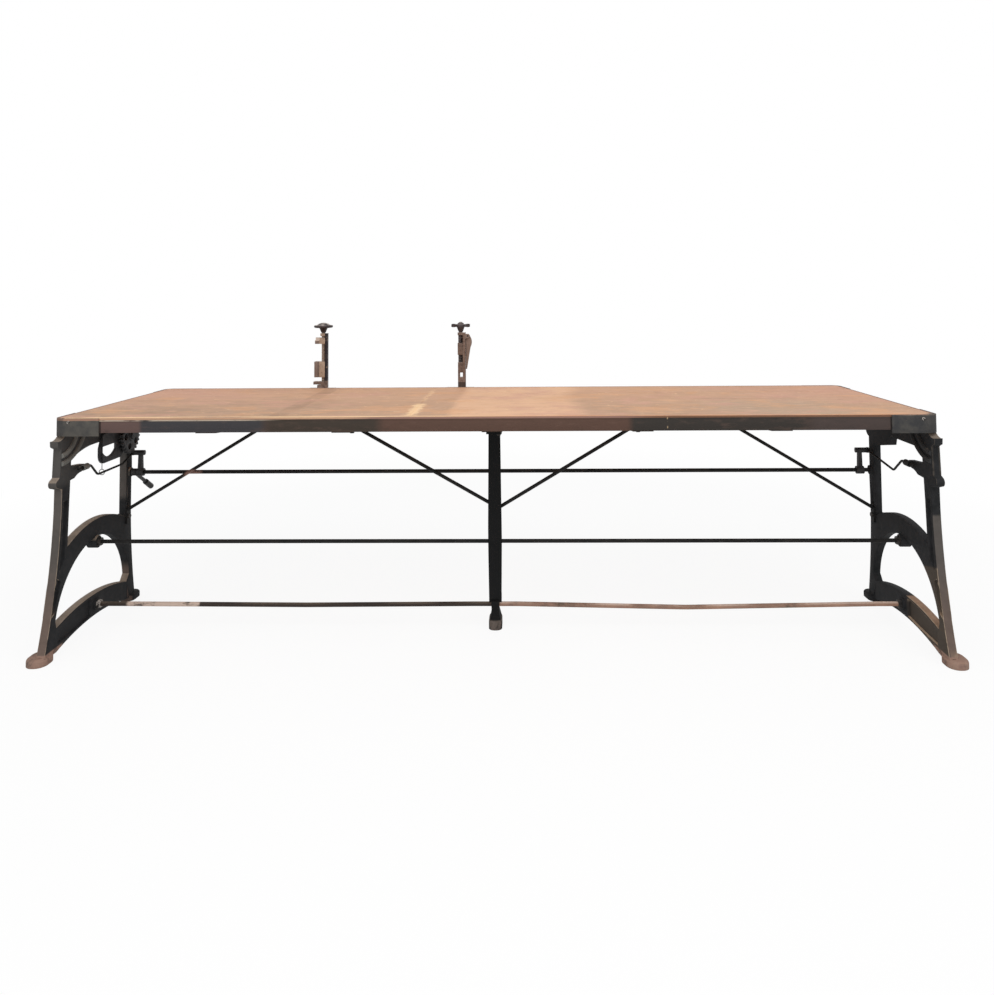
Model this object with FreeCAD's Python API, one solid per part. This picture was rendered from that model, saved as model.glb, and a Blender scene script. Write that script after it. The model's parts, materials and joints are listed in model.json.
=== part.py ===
import FreeCAD, Part
import math
import os

Vector = FreeCAD.Vector

# Sizes are in millimetres. X runs along the table, Y runs from the front edge to the rear, Z is up.
# Depths (y) are counted from the front edge of the top, heights (z) from the floor.

# Top
top_length = 3000.0
top_depth = 866.0
top_height = 797.0
plank_thickness = 50.0
plank_rows = 4
seam_x = -283.0
edge_thickness = 10.0
cap_wall = 4.0
cap_length = 160.0
cap_return = 130.0
cap_drop = 11.0
corner_radius = 36.0
cap_screw_radius = 5.0
cap_screw_inset = 52.0
cap_screw_drop = 13.0
cap_screw_head = 2.0
cap_screw_length = 40.0

# Battens under the planks
batten_width = 70.0
batten_height = 34.0
batten_tip = 6.0
batten_inset = 20.0
batten_taper = 250.0
inner_batten_x = 515.0
outer_batten_x = 985.0
lag_radius = 4.0
lag_head_radius = 8.0
lag_head_height = 6.0
lag_grip = 28.0
batten_screw_front = 60.0
batten_screw_rear = 20.0

# End frames
frame_thickness = 28.0
web_thickness = 12.0
rim_width = 10.0
leg_recess_drop = 70.0
beam_depth = 75.0
beam_setback = 20.0
beam_tip_depth = 20.0
flange_width = 36.0
flange_height = 12.0
flange_front = 70.0
flange_screw_front = 80.0
flange_screw_middle = 226.0
flange_screw_rear = 46.0
abacus_drop = 25.0
abacus_height = 20.0
abacus_front = -24.0
bead_drop = 170.0
bead_height = 30.0
bead_front = -30.0
leg_front = 4.0
leg_rear = 52.0
knee_drop = 267.0
foot_line = -80.0
rear_leg_front = 447.0
rear_leg_rear = 489.0
heel_line = 524.0
sole_z = 16.0
rail_rise = 46.0
rail_crown = 124.0
rail_corner = 98.0
arch_under = 328.0
arch_crown = 394.0
arch_spring = 350.0
lug_drop = 34.0
lug_fall = 27.0
lug_length = 146.0
lug_slope = 10.0
bracket_reach = 140.0
bracket_drop = 28.0
guide_drop = 141.0
left_corbel_reach = 142.0
right_corbel_reach = 160.0
corbel_drop = 30.0
corbel_thickness = 20.0
corbel_nose = 60.0
foot_width = 70.0
foot_length = 84.0
foot_height = 27.0
foot_outset = 36.0
foot_toe = -100.0
heel_pad_length = 84.0
heel_pad_width = 60.0
heel_pad_toe = 556.0
boss_height = 8.0
foot_corner = 33.0
foot_shoulder = 11.0
heel_pad_height = 24.0
heel_pad_corner = 26.0
heel_pad_shoulder = 9.0

# Tie rods
tie_y = 233.0
middle_tie_z = 310.0
middle_tie_radius = 7.0
lower_tie_z = 84.0
lower_tie_radius = 8.0
lower_tie_sag = 12.0
tie_rod_bend = 900.0
tie_end_run = 90.0
tie_middle_run = 80.0
tie_boss_radius = 22.0
tie_stub = 20.0
nut_height = 12.0
nut_width = 26.0
hole_clearance = 0.3

# Centre leg
post_front = 224.0
post_depth = 56.0
post_flange = 12.0
post_web = 16.0
post_rear_flange = 10.0
post_top_width = 43.0
post_mid_width = 50.0
post_low_width = 45.0
post_rear_width = 34.0
post_mid_z = 340.0
post_low_z = 100.0
plate_length = 130.0
plate_width = 56.0
plate_height = 8.0
shoe_ledge = 14.0
shoe_neck_width = 30.0
shoe_waist_width = 26.0
shoe_waist_z = 58.0
shoe_height = 38.0
shoe_width = 48.0
shoe_toe = 204.0
shoe_heel = 290.0
shoe_corner = 21.0
shoe_shoulder = 13.5

# Braces
brace_radius = 6.5
brace_tab = 7.0
brace_tab_width = 22.0
brace_tab_length = 58.0
outer_brace_drop = 145.0
inner_brace_rise = 126.0
right_brace_drop = 14.0
outer_brace_y = 455.0
outer_brace_x = 823.0
inner_brace_y = 254.0
brace_bolt_radius = 5.0
brace_bolt_drop = 24.0
brace_bolt_head = 7.0
brace_nut_height = 8.0
brace_nut_width = 16.0

# Rocking gear
shaft_y = 474.0
shaft_drop = 236.0
shaft_radius = 7.5
shaft_inset = 6.0
shaft_boss_radius = 18.0
running_fit = 0.05
lever_inset = 44.0
lever_arm = 77.0
lever_boss_radius = 15.0
lever_boss_length = 28.0
lever_plate = 14.0
head_radius = 10.0
head_length = 44.0
head_pin_radius = 4.5
pull_inset = 12.0
pull_radius = 4.0
pull_eye_radius = 11.0
pull_eye_width = 8.0
left_pull_dip_y = 238.0
right_pull_dip_y = 252.0
pull_dip = 48.0
pull_rise_gap = 27.0
pull_tail_run = 60.0
pull_bend = 24.0
guide_clearance = 2.0
guide_wall = 5.0
guide_length = 34.0
hand_lever_inset = 19.0
hand_lever_length = 172.0
hand_lever_slope = 32.0
hand_lever_radius = 7.0
hand_boss_radius = 14.0
hand_boss_length = 16.0
grip_radius = 11.0
grip_length = 64.0

# Toothed wheel, hook and wire on the left frame
wheel_y = 425.0
wheel_drop = 82.0
wheel_radius = 70.0
wheel_width = 14.0
wheel_gap = 16.0
tooth_count = 24
tooth_depth = 8.0
hub_radius = 22.0
hub_overhang = 4.0
stud_radius = 9.0
stud_head_radius = 14.0
stud_head = 6.0
stud_boss_radius = 25.0
hook_thickness = 10.0
hook_front = 229.0
hook_rear = 440.0
hook_drop = 157.0
hook_lap = 28.0
hook_corner = 34.0
hook_lean = 22.0
hook_chamfer = 56.0
hook_limb = 20.0
hook_eye_length = 98.0
hook_eye_height = 43.0
hook_eye_dip = 22.0
wire_radius = 1.3
wire_y = 240.0
wire_loop_radius = 10.0
wire_loop_rise = 4.0

# Rear posts
left_post_x = -797.0
right_post_x = -175.0
spindle_radius = 9.0
post_base_depth = 10.0
post_body_depth = 26.0
spindle_gap = 16.0
knob_radius = 42.0
knob_rise = 269.0
knob_thickness = 12.0
cap_dome_radius = 30.0
cap_dome_height = 11.0
wing_dome_radius = 15.0
wing_dome_height = 11.0
knob_hub_radius = 18.0
head_collar_wall = 5.0
knob_hub_height = 24.0
head_gap = 1.0
post_head_height = 12.0
left_bar_width = 10.0
left_foot_reach = 25.0
left_shelf_gap = 19.0
left_shelf_height = 13.0
left_shelf_reach = 42.0
left_block_gap = 80.0
left_block_height = 70.0
left_block_reach = 38.0
left_stop_gap = 7.0
left_stop_height = 28.0
left_stop_reach = 35.0
right_bar_width = 12.0
right_body_left = 12.0
right_body_gap = 33.0
right_slot_drop = 67.0
right_slot_width = 15.0
right_slot_height = 21.0
right_block_gap = 35.0
right_block_height = 53.0
right_block_reach = 13.0
block_gap = 0.5
block_depth = 36.0
wing_length = 42.0
wing_width = 16.0
wing_tip = 5.0
wing_tip_round = 6.0
lever_length = 148.0
lever_bulge = 25.0
lever_shoulder = 14.0
lever_belly = 50.0
lever_foot_left = 0.5
lever_foot_right = 5.0
lever_eye_gap = 1.0
lever_width = 21.0
lever_thickness = 12.0
lever_pivot_drop = 4.0
lever_pivot_out = 10.0
lever_pin_radius = 4.0
lever_lug_depth = 9.0
post_bolt_spacing = 92.0
post_bolt_radius = 4.0
post_bolt_head = 5.0
post_bolt_head_radius = 7.6
post_bolt_grip = 40.0
post_plate_width = 120.0

# Worked-out places
half_length = top_length / 2
under_top = top_height - plank_thickness
frame_inner = half_length - frame_thickness
batten_under = under_top - batten_height
beam_reach = top_depth - beam_setback
beam_under = under_top - beam_depth
abacus_z = under_top - abacus_drop
bead_z = under_top - bead_drop
knee_z = under_top - knee_drop
corbel_z = under_top - guide_drop
hook_z = under_top - hook_drop
wheel_z = under_top - wheel_drop
shaft_z = under_top - shaft_drop
pull_dip_z = corbel_z - pull_dip
flange_under = under_top - flange_height
post_rear = post_front + post_depth
post_top = batten_under
rear_face = top_depth
spindle_y = rear_face + spindle_gap
front_reach = foot_toe
rear_reach = spindle_y + knob_radius
front_edge_y = -(front_reach + rear_reach) / 2
head_z = shaft_z + lever_arm
pull_x = frame_inner - pull_inset
lever_x = frame_inner - lever_inset
hand_lever_x = hand_lever_inset - frame_inner
brace_low_outer_z = shaft_z - outer_brace_drop
brace_low_inner_z = middle_tie_z + inner_brace_rise
outer_bolt_z = brace_low_outer_z - brace_bolt_drop
inner_bolt_z = brace_low_inner_z - right_brace_drop - brace_bolt_drop

# Worked-out heights of the rear posts
knob_z = top_height + knob_rise
post_head_z = knob_z - knob_hub_height - head_gap - post_head_height
left_stop_z = post_head_z - left_stop_gap - left_stop_height
left_block_z = left_stop_z - left_block_gap - left_block_height
left_shelf_z = left_block_z - left_shelf_gap - left_shelf_height
right_block_z = post_head_z - right_block_gap - right_block_height
right_body_z = right_block_z - right_body_gap
right_slot_z = right_body_z - right_slot_drop
lever_pivot_z = post_head_z - lever_pivot_drop


def at(x, y, z):
    return Vector(x, y + front_edge_y, z)


def block(x, y, z):
    corner = at(min(x), min(y), min(z))
    return Part.makeBox(max(x) - min(x), max(y) - min(y), max(z) - min(z), corner)


def round_bar(start, end, radius):
    run = end - start
    return Part.makeCylinder(radius, run.Length, start, run)


def bar_x(x, y, z, radius):
    return round_bar(at(min(x), y, z), at(max(x), y, z), radius)


def bar_y(x, y, z, radius):
    return round_bar(at(x, min(y), z), at(x, max(y), z), radius)


def bar_z(x, y, z, radius):
    return round_bar(at(x, y, min(z)), at(x, y, max(z)), radius)


def fuse(first, *others):
    return first.multiFuse(list(others)).removeSplitter()


def loop(place, start, steps):
    # A step of two numbers is a straight line to that point, one of four an arc through the first pair.
    edges = []
    here = place(*start)
    for step in list(steps) + [start]:
        there = place(*step[-2:])
        if len(step) == 4:
            edges.append(Part.Arc(here, place(*step[:2]), there).toShape())
        elif there.distanceToPoint(here) > 0.001:
            edges.append(Part.LineSegment(here, there).toShape())
        here = there
    return Part.Face(Part.Wire(edges))


def side_plate(x, start, steps):
    face = loop(lambda y, z: at(min(x), y, z), start, steps)
    return face.extrude(Vector(max(x) - min(x), 0, 0))


def rear_plate(y, start, steps):
    face = loop(lambda x, z: at(x, min(y), z), start, steps)
    return face.extrude(Vector(0, max(y) - min(y), 0))


def bent_bar(points, radius, bend):
    # Straight runs joined by tangent arcs.
    edges = []
    here = points[0]
    for before, corner, after in zip(points, points[1:], points[2:]):
        back = (before - corner).normalize()
        ahead = (after - corner).normalize()
        half_turn = (math.pi - back.getAngle(ahead)) / 2
        cut = bend * math.tan(half_turn)
        middle = (back + ahead).normalize()
        reach = bend / math.cos(half_turn) - bend
        start = corner + back * cut
        end = corner + ahead * cut
        edges.append(Part.LineSegment(here, start).toShape())
        edges.append(Part.Arc(start, corner + middle * reach, end).toShape())
        here = end
    edges.append(Part.LineSegment(here, points[-1]).toShape())
    ring = Part.Wire(Part.makeCircle(radius, points[0], points[1] - points[0]))
    return Part.Wire(edges).makePipeShell([ring], True, False)


def hex_nut(x, y, z, height, width, bore):
    # A six-sided nut lying along X from x, on the side that the sign of height gives.
    corners = []
    for turn in range(7):
        angle = math.radians(60 * turn)
        radius = width / 2 / math.cos(math.radians(30))
        corners.append(at(x, y + radius * math.cos(angle), z + radius * math.sin(angle)))
    body = Part.Face(Part.makePolygon(corners)).extrude(Vector(height, 0, 0))
    return body.cut(bar_x((x - abs(height), x + abs(height)), y, z, bore))


def pad(x, y, width, length, height, corner, shoulder):
    # A round-cornered foot with a softened upper edge.
    body = block((x - width / 2, x + width / 2), (y - length / 2, y + length / 2), (0, height))
    upright = [edge for edge in body.Edges if edge.BoundBox.ZLength > height / 2]
    body = body.makeFillet(corner, upright)
    upper = [edge for edge in body.Edges if edge.BoundBox.ZMin > height / 2]
    return body.makeFillet(shoulder, upper)


def planks():
    inner = half_length - edge_thickness
    row_depth = (top_depth - 2 * edge_thickness) / plank_rows
    pieces = {}
    for row in range(plank_rows):
        y = edge_thickness + row * row_depth
        depth = (y, y + row_depth)
        height = (under_top, top_height)
        pieces["plank_left_%d" % (row + 1)] = block((-inner, seam_x), depth, height)
        pieces["plank_right_%d" % (row + 1)] = block((seam_x, inner), depth, height)
    return pieces


def edge_strips():
    # The strips stop where the round of the corner caps starts.
    height = (under_top, top_height)
    inner = half_length - edge_thickness
    corner = corner_radius - cap_wall
    run = (corner - half_length, half_length - corner)
    depth = (corner, top_depth - corner)
    return {
        "front_edge_strip": block(run, (0, edge_thickness), height),
        "rear_edge_strip": block(run, (top_depth - edge_thickness, top_depth), height),
        "left_edge_strip": block((-half_length, -inner), depth, height),
        "right_edge_strip": block((inner, half_length), depth, height),
    }


def corner_cap(side, front):
    # A round-cornered wall, filled out to the planks' square corner, measured inwards from the outside.
    edge = 0 if front else top_depth
    out = -1 if front else 1

    def upright(low, start, steps):
        def place(u, v):
            return at(side * (half_length + cap_wall - u), edge + out * (cap_wall - v), low)

        return loop(place, start, steps).extrude(Vector(0, 0, top_height - low))

    tail = cap_wall + cap_return
    bend = corner_radius * (1 - math.sqrt(0.5))
    inner_bend = corner_radius - (corner_radius - cap_wall) * math.sqrt(0.5)
    inner_round = (inner_bend, inner_bend, corner_radius, cap_wall)
    wall = upright(under_top - cap_drop, (cap_length, 0), [
        (corner_radius, 0),
        (bend, bend, 0, corner_radius),
        (0, tail),
        (cap_wall, tail),
        (cap_wall, corner_radius),
        inner_round,
        (cap_length, cap_wall),
    ])
    square = cap_wall + edge_thickness
    filling = upright(under_top, (cap_wall, corner_radius), [
        inner_round,
        (corner_radius, square),
        (square, square),
        (square, corner_radius),
    ])
    return fuse(wall, filling)


def cap_screws():
    screws = []
    z = top_height - cap_screw_drop
    for side in (-1, 1):
        x = side * (half_length - cap_screw_inset)
        for edge, out in ((0, -1), (top_depth, 1)):
            skin = edge + out * cap_wall
            head = bar_y(x, (skin, skin + out * cap_screw_head), z, cap_screw_radius)
            shank = bar_y(x, (skin, skin - out * cap_screw_length), z, cap_screw_radius / 2)
            screws.append(fuse(head, shank))
    return screws


def batten(x):
    start = batten_inset
    end = top_depth - batten_inset
    tip = under_top - batten_tip
    outline = [(end, under_top), (end, tip), (end - batten_taper, batten_under),
               (start + batten_taper, batten_under), (start, tip)]
    return side_plate((x - batten_width / 2, x + batten_width / 2), (start, under_top), outline)


def lag_screw(x, y, z):
    # A lag screw driven upwards, its head under z.
    head = bar_z(x, y, (z - lag_head_height, z), lag_head_radius)
    shank = bar_z(x, y, (z, under_top + lag_grip), lag_radius)
    return fuse(head, shank)


def batten_places():
    return {
        "centre_bearer": 0.0,
        "inner_batten_left": -inner_batten_x,
        "inner_batten_right": inner_batten_x,
        "outer_batten_left": -outer_batten_x,
        "outer_batten_right": outer_batten_x,
    }


def batten_screws():
    # Two lag screws in the level part of each batten, clear of the leg's plate and the brace ends.
    screws = []
    for x in batten_places().values():
        front = batten_inset + batten_taper + batten_screw_front
        rear = top_depth - batten_inset - batten_taper - batten_screw_rear
        for y in (front, rear):
            screws.append(lag_screw(x - batten_width / 4, y, batten_under))
    return screws


def frame_outline():
    cove = (leg_front + 4, abacus_z + 5, leg_front + 24, under_top)
    bead_low = bead_z - bead_height / 2
    bead_top = bead_z + bead_height / 2
    nose = abacus_z - abacus_height
    rear_bead_z = beam_under - 14
    return [
        (foot_line, foot_height),
        (leg_front - 20, (knee_z + foot_height) / 2 + 40, leg_front, knee_z),
        (leg_front + 2, bead_low - 8),
        (bead_front + 12, bead_low),
        (bead_front, bead_z, bead_front + 12, bead_top),
        (leg_front - 12, bead_top + 5),
        (leg_front - 6, nose - 10),
        (abacus_front + 2, nose),
        (abacus_front, abacus_z),
        cove,
        (beam_reach, under_top),
        (beam_reach, under_top - beam_tip_depth),
        (rear_leg_rear + 28, beam_under + 10),
        (rear_leg_rear + 25, rear_bead_z, rear_leg_rear, rear_bead_z - 18),
        (rear_leg_rear, arch_spring - 10),
        ((rear_leg_rear + heel_line) / 2 - 7, arch_spring / 2 + 15, heel_line, foot_height),
        (heel_line, sole_z),
        (rear_leg_front + 8, sole_z),
        (tie_y - 8, rail_rise, -foot_height / 2, sole_z),
    ]


def upper_opening(side):
    # The left frame has a long bracket beside the front leg, the right one a step beside the rear leg.
    beam_end = rear_leg_front
    if side < 0:
        corner = (leg_rear + 8, beam_under - bracket_drop)
        round_radius = (bracket_reach ** 2 + bracket_drop ** 2) / (2 * bracket_drop)
        half_drop = round_radius - math.sqrt(round_radius ** 2 - bracket_reach ** 2 / 4)
        reach = leg_rear + 8 + bracket_reach
        steps = [(reach - bracket_reach / 2, beam_under - half_drop, reach, beam_under)]
        steps.append((beam_end, beam_under))
    else:
        corner = (leg_rear + 12, beam_under - 24)
        steps = [(leg_rear + 19, beam_under - 7, leg_rear + 36, beam_under)]
        steps.append((beam_end - lug_length, beam_under))
        steps.append((beam_end - lug_length + lug_slope, beam_under - lug_drop))
        steps.append((beam_end, beam_under - lug_drop - lug_fall))
    steps.append((beam_end, arch_spring - 10))
    steps.append((tie_y + 8, arch_crown, leg_rear - 8, arch_spring))
    steps.append((leg_rear, knee_z + 20))
    return corner, steps


def lower_opening():
    start = (-14, rail_corner)
    steps = [
        (tie_y - 8, rail_crown, rear_leg_front + 10, rail_corner - 12),
        (rear_leg_front + 31, rail_corner + 12),
        (rear_leg_front - 54, arch_under - 60, tie_y - 8, arch_under),
        (69, arch_under - 62, -20, rail_corner + 22),
    ]
    return start, steps


def leg_recess():
    start = (leg_front - 14 + rim_width, arch_spring - leg_recess_drop)
    top = knee_z + 30
    steps = [
        (leg_front - 5 + rim_width, arch_spring + 20),
        (leg_front + 3 + rim_width, top),
        (leg_rear + 2 - rim_width, top),
        (leg_rear - 10 - rim_width, arch_spring + 20),
        (leg_rear - 14 - rim_width, arch_spring - 40),
    ]
    return start, steps


def shin_recess():
    low = rail_corner + 50
    start = (foot_line + 26 + rim_width, low)
    steps = [
        (leg_front - 41 + rim_width, low + 80),
        (leg_front - 26 + rim_width, low + 110),
        (leg_front + 4, low + 96),
        (-14 - rim_width, low + 10),
        (-18 - rim_width, low),
    ]
    return start, steps


def rail_recess():
    start = (-6, rail_rise - 6)
    end = tie_y - tie_boss_radius - 12
    steps = [
        (end / 2, rail_rise - 1, end, rail_rise + rim_width - 2),
        (end, rail_crown - rim_width),
        (end / 2, rail_crown - rim_width - 5, -8, rail_corner - rim_width - 6),
    ]
    return start, steps


def end_frame(side):
    outer = side * half_length
    inner = side * frame_inner
    span = (inner, outer)
    body = side_plate(span, (foot_line, sole_z), frame_outline())
    through = (inner - side, outer + side)
    body = body.cut(side_plate(through, *upper_opening(side)))
    body = body.cut(side_plate(through, *lower_opening()))
    depth = (frame_thickness - web_thickness) / 2
    for recess in (leg_recess(), shin_recess(), rail_recess()):
        body = body.cut(side_plate((inner - side, inner + side * depth), *recess))
        body = body.cut(side_plate((outer + side, outer - side * depth), *recess))
    corbel_x = (inner, inner + side * corbel_thickness)
    reach = corbel_tip(side)
    corbel = side_plate(corbel_x, (leg_rear - 6, corbel_z + 18), corbel_outline(reach))
    guide_x = side * pull_x
    guide_radius = pull_radius + guide_clearance + guide_wall
    guide_y = (reach, reach - guide_length)
    guide = bar_y(guide_x, guide_y, corbel_z, guide_radius)
    guide = fuse(guide, block((guide_x, inner), guide_y, (corbel_z - guide_wall, corbel_z + guide_wall)))
    flange_x = (inner, inner - side * flange_width)
    flange = block(flange_x, (flange_front, beam_reach), (flange_under, under_top))
    body = fuse(body, corbel, guide, flange, *frame_feet(side), *frame_bosses(side))
    bore = pull_radius + guide_clearance
    body = body.cut(bar_y(guide_x, (reach + 1, reach - 2 * pull_tail_run), corbel_z, bore))
    return body.cut(Part.makeCompound(frame_holes(side)))


def corbel_tip(side):
    return left_corbel_reach if side < 0 else right_corbel_reach


def corbel_outline(reach):
    low = corbel_z - corbel_drop
    return [
        (reach, corbel_z + 8),
        (reach, corbel_z - 6),
        (reach - 16, low + 13),
        (reach - corbel_nose / 2, low + 12, reach - corbel_nose, low),
        (leg_rear - 6, low - 3),
    ]


def frame_feet(side):
    front_x = side * (half_length + foot_outset - foot_width / 2)
    rear_x = side * (frame_inner + half_length) / 2
    front = pad(front_x, foot_toe + foot_length / 2, foot_width, foot_length, foot_height, foot_corner,
                foot_shoulder)
    rear = pad(rear_x, heel_pad_toe - heel_pad_length / 2, heel_pad_width, heel_pad_length, heel_pad_height,
               heel_pad_corner, heel_pad_shoulder)
    return front, rear


def frame_bosses(side):
    inner = side * frame_inner
    proud = (inner + side * frame_thickness, inner - side * boss_height)
    middle = bar_x(proud, tie_y, middle_tie_z, tie_boss_radius)
    lower = bar_x(proud, tie_y, lower_tie_z, tie_boss_radius)
    shaft = bar_x(proud, shaft_y, shaft_z, shaft_boss_radius)
    bosses = [middle, lower, shaft]
    if side < 0:
        bosses.append(bar_x((inner, side * half_length), wheel_y, wheel_z, stud_boss_radius))
    return bosses


def frame_holes(side):
    span = (side * (frame_inner - boss_height - 1), side * (half_length + 1))
    holes = [
        bar_x(span, tie_y, middle_tie_z, middle_tie_radius + hole_clearance),
        bar_x(span, tie_y, lower_tie_z, lower_tie_radius + hole_clearance),
        bar_x(span, shaft_y, shaft_z, shaft_radius + running_fit),
        bar_x(span, outer_brace_y, outer_bolt_z, brace_bolt_radius + hole_clearance),
    ]
    if side < 0:
        holes.append(bar_x(span, wheel_y, wheel_z, stud_radius))
    for x, y in flange_screw_places(side):
        holes.append(bar_z(x, y, (flange_under - 1, under_top + 1), lag_radius + hole_clearance))
    return holes


def flange_screw_places(side):
    x = side * (frame_inner - flange_width * 0.6)
    rear = beam_reach - flange_screw_rear
    return [(x, flange_front + flange_screw_front), (x, beam_reach - flange_screw_middle), (x, rear)]


def frame_screws():
    screws = []
    for side in (-1, 1):
        for x, y in flange_screw_places(side):
            screws.append(lag_screw(x, y, flange_under))
    return screws


def centre_leg():
    half_top = post_top_width / 2
    half_mid = post_mid_width / 2
    half_low = post_low_width / 2
    plate_z = post_top - plate_height
    flange_y = (post_front, post_front + post_flange)
    outline = [
        (half_mid, post_mid_z, half_top, plate_z),
        (-half_top, plate_z),
        (-half_mid, post_mid_z, -half_low, post_low_z),
    ]
    face = rear_plate(flange_y, (half_low, post_low_z), outline)
    web = block((-post_web / 2, post_web / 2), (post_front, post_rear), (post_low_z, plate_z))
    back_y = (post_rear - post_rear_flange, post_rear)
    back = block((-post_rear_width / 2, post_rear_width / 2), back_y, (post_low_z, plate_z))
    middle_y = post_front + post_depth / 2
    plate_y = (middle_y - plate_length / 2, middle_y + plate_length / 2)
    plate = block((-plate_width / 2, plate_width / 2), plate_y, (plate_z, post_top))
    tie_boss = bar_x((-half_low, half_low), tie_y + 6, middle_tie_z, tie_boss_radius - 4)
    low_boss = bar_x((-half_low, half_low), tie_y + 6, lower_tie_z + 22, tie_boss_radius - 4)
    body = fuse(face, web, back, plate, tie_boss, low_boss, *centre_shoe())
    through = (-post_mid_width, post_mid_width)
    holes = [
        bar_x(through, tie_y, middle_tie_z, middle_tie_radius + hole_clearance),
        bar_x(through, tie_y, lower_tie_z, lower_tie_radius + hole_clearance),
        bar_x(through, inner_brace_y, inner_bolt_z, brace_bolt_radius + hole_clearance),
    ]
    for x, y in plate_screw_places():
        holes.append(bar_z(x, y, (plate_z - 1, post_top + 1), lag_radius + hole_clearance))
    return body.cut(Part.makeCompound(holes))


def centre_shoe():
    # A necked shoe that swells to a rounded sole, with a small ledge in front of the post.
    ledge_y = post_front - shoe_ledge
    levels = [
        (shoe_neck_width, ledge_y, post_rear, post_low_z),
        (shoe_waist_width, ledge_y + 2, post_rear, shoe_waist_z),
        (shoe_width - 8, shoe_toe + 6, shoe_heel - 6, shoe_height - 8),
    ]
    wires = []
    for width, front, rear, z in levels:
        half = width / 2
        corners = [at(-half, front, z), at(half, front, z), at(half, rear, z), at(-half, rear, z)]
        wires.append(Part.makePolygon(corners + corners[:1]))
    neck = Part.makeLoft(wires, True, True)
    middle = (shoe_toe + shoe_heel) / 2
    sole = pad(0, middle, shoe_width, shoe_heel - shoe_toe, shoe_height, shoe_corner, shoe_shoulder)
    return neck, sole


def plate_screw_places():
    middle_y = post_front + post_depth / 2
    reach = plate_length / 2 - 14
    x = plate_width / 2 - 11
    return [(x, middle_y - reach), (-x, middle_y + reach)]


def plate_screws():
    return [lag_screw(x, y, post_top - plate_height) for x, y in plate_screw_places()]


def middle_tie_rod():
    end = half_length + tie_stub
    return bar_x((-end, end), tie_y, middle_tie_z, middle_tie_radius)


def lower_tie_rod(side, sag):
    # Old rods have settled a little between the frame and the leg.
    end = half_length + tie_stub
    straight = frame_inner - tie_end_run
    start = at(side * 2, tie_y, lower_tie_z)
    points = [
        start,
        at(side * tie_middle_run, tie_y, lower_tie_z),
        at(side * straight / 2, tie_y, lower_tie_z - sag),
        at(side * straight, tie_y, lower_tie_z),
        at(side * end, tie_y, lower_tie_z),
    ]
    return bent_bar(points, lower_tie_radius, tie_rod_bend)


def tie_rod_nuts():
    nuts = []
    for side in (-1, 1):
        outer = side * half_length
        inner = side * (frame_inner - boss_height)
        for z, bore in ((middle_tie_z, middle_tie_radius), (lower_tie_z, lower_tie_radius)):
            nuts.append(hex_nut(outer, tie_y, z, side * nut_height, nut_width, bore))
            nuts.append(hex_nut(inner, tie_y, z, -side * nut_height, nut_width, bore))
    return nuts


def brace(low_x, low_z, high_x, high_z, y, bolt_z):
    # A round rod whose lower end lies flat on an upright face and whose upper end lies under the top.
    out = 1 if high_x > low_x else -1
    tab_y = (y - brace_tab_width / 2, y + brace_tab_width / 2)
    low_tab_z = (low_z + brace_radius, low_z + brace_radius - brace_tab_length)
    low_tab = block((low_x, low_x + out * brace_tab), tab_y, low_tab_z)
    half_tab = brace_tab_length / 2
    high_tab = block((high_x - half_tab, high_x + half_tab), tab_y, (high_z - brace_tab, high_z))
    start = at(low_x, y, low_z)
    end = at(high_x - out * half_tab / 2, y, high_z)
    rod = round_bar(start, end, brace_radius)
    reach = (tab_y[0] - 1, tab_y[1] + 1)
    spare = 2 * brace_tab_length
    rod = rod.cut(block((low_x, low_x - out * spare), reach, (low_z - spare, low_z + spare)))
    rod = rod.cut(block((high_x - spare, high_x + spare), reach, (high_z, high_z + spare)))
    body = fuse(low_tab, high_tab, rod)
    body = body.cut(bar_x((low_x - 20, low_x + 20), y, bolt_z, brace_bolt_radius + hole_clearance))
    screw_x = high_x + out * half_tab / 2
    hole = bar_z(screw_x, y, (high_z - 20, high_z + 1), lag_radius + hole_clearance)
    return body.cut(hole)


def brace_places():
    # The outer braces end under the planks, the inner ones under battens. Both inner braces share one
    # bolt, and the right one reaches lower down the centre leg.
    web = post_web / 2
    outer = (under_top, outer_brace_y, outer_bolt_z)
    inner = (batten_under, inner_brace_y, inner_bolt_z)
    low_right_z = brace_low_inner_z - right_brace_drop
    return {
        "brace_left_outer": (-frame_inner, brace_low_outer_z, -outer_brace_x) + outer,
        "brace_left_inner": (-web, brace_low_inner_z, -inner_batten_x) + inner,
        "brace_right_inner": (web, low_right_z, inner_batten_x) + inner,
        "brace_right_outer": (frame_inner, brace_low_outer_z, outer_brace_x) + outer,
    }


def brace_bolts():
    # Hexagon bolts through the rear legs, and one through the centre leg.
    bolts = []
    for side in (-1, 1):
        z = outer_bolt_z
        tab = side * (frame_inner - brace_tab)
        head = hex_nut(tab, outer_brace_y, z, -side * brace_bolt_head, brace_nut_width, 0.5)
        nut = hex_nut(side * half_length, outer_brace_y, z, side * brace_nut_height, brace_nut_width, 0.5)
        shank_x = (tab - side * 4, side * (half_length + brace_nut_height))
        shank = bar_x(shank_x, outer_brace_y, z, brace_bolt_radius)
        bolts.append(fuse(head, nut, shank))
    z = inner_bolt_z
    tab = post_web / 2 + brace_tab
    head = hex_nut(tab, inner_brace_y, z, brace_bolt_head, brace_nut_width, 0.5)
    nut = hex_nut(-tab, inner_brace_y, z, -brace_nut_height, brace_nut_width, 0.5)
    shank = bar_x((-tab - brace_nut_height, tab + 4), inner_brace_y, z, brace_bolt_radius)
    bolts.append(fuse(head, nut, shank))
    return bolts


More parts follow.
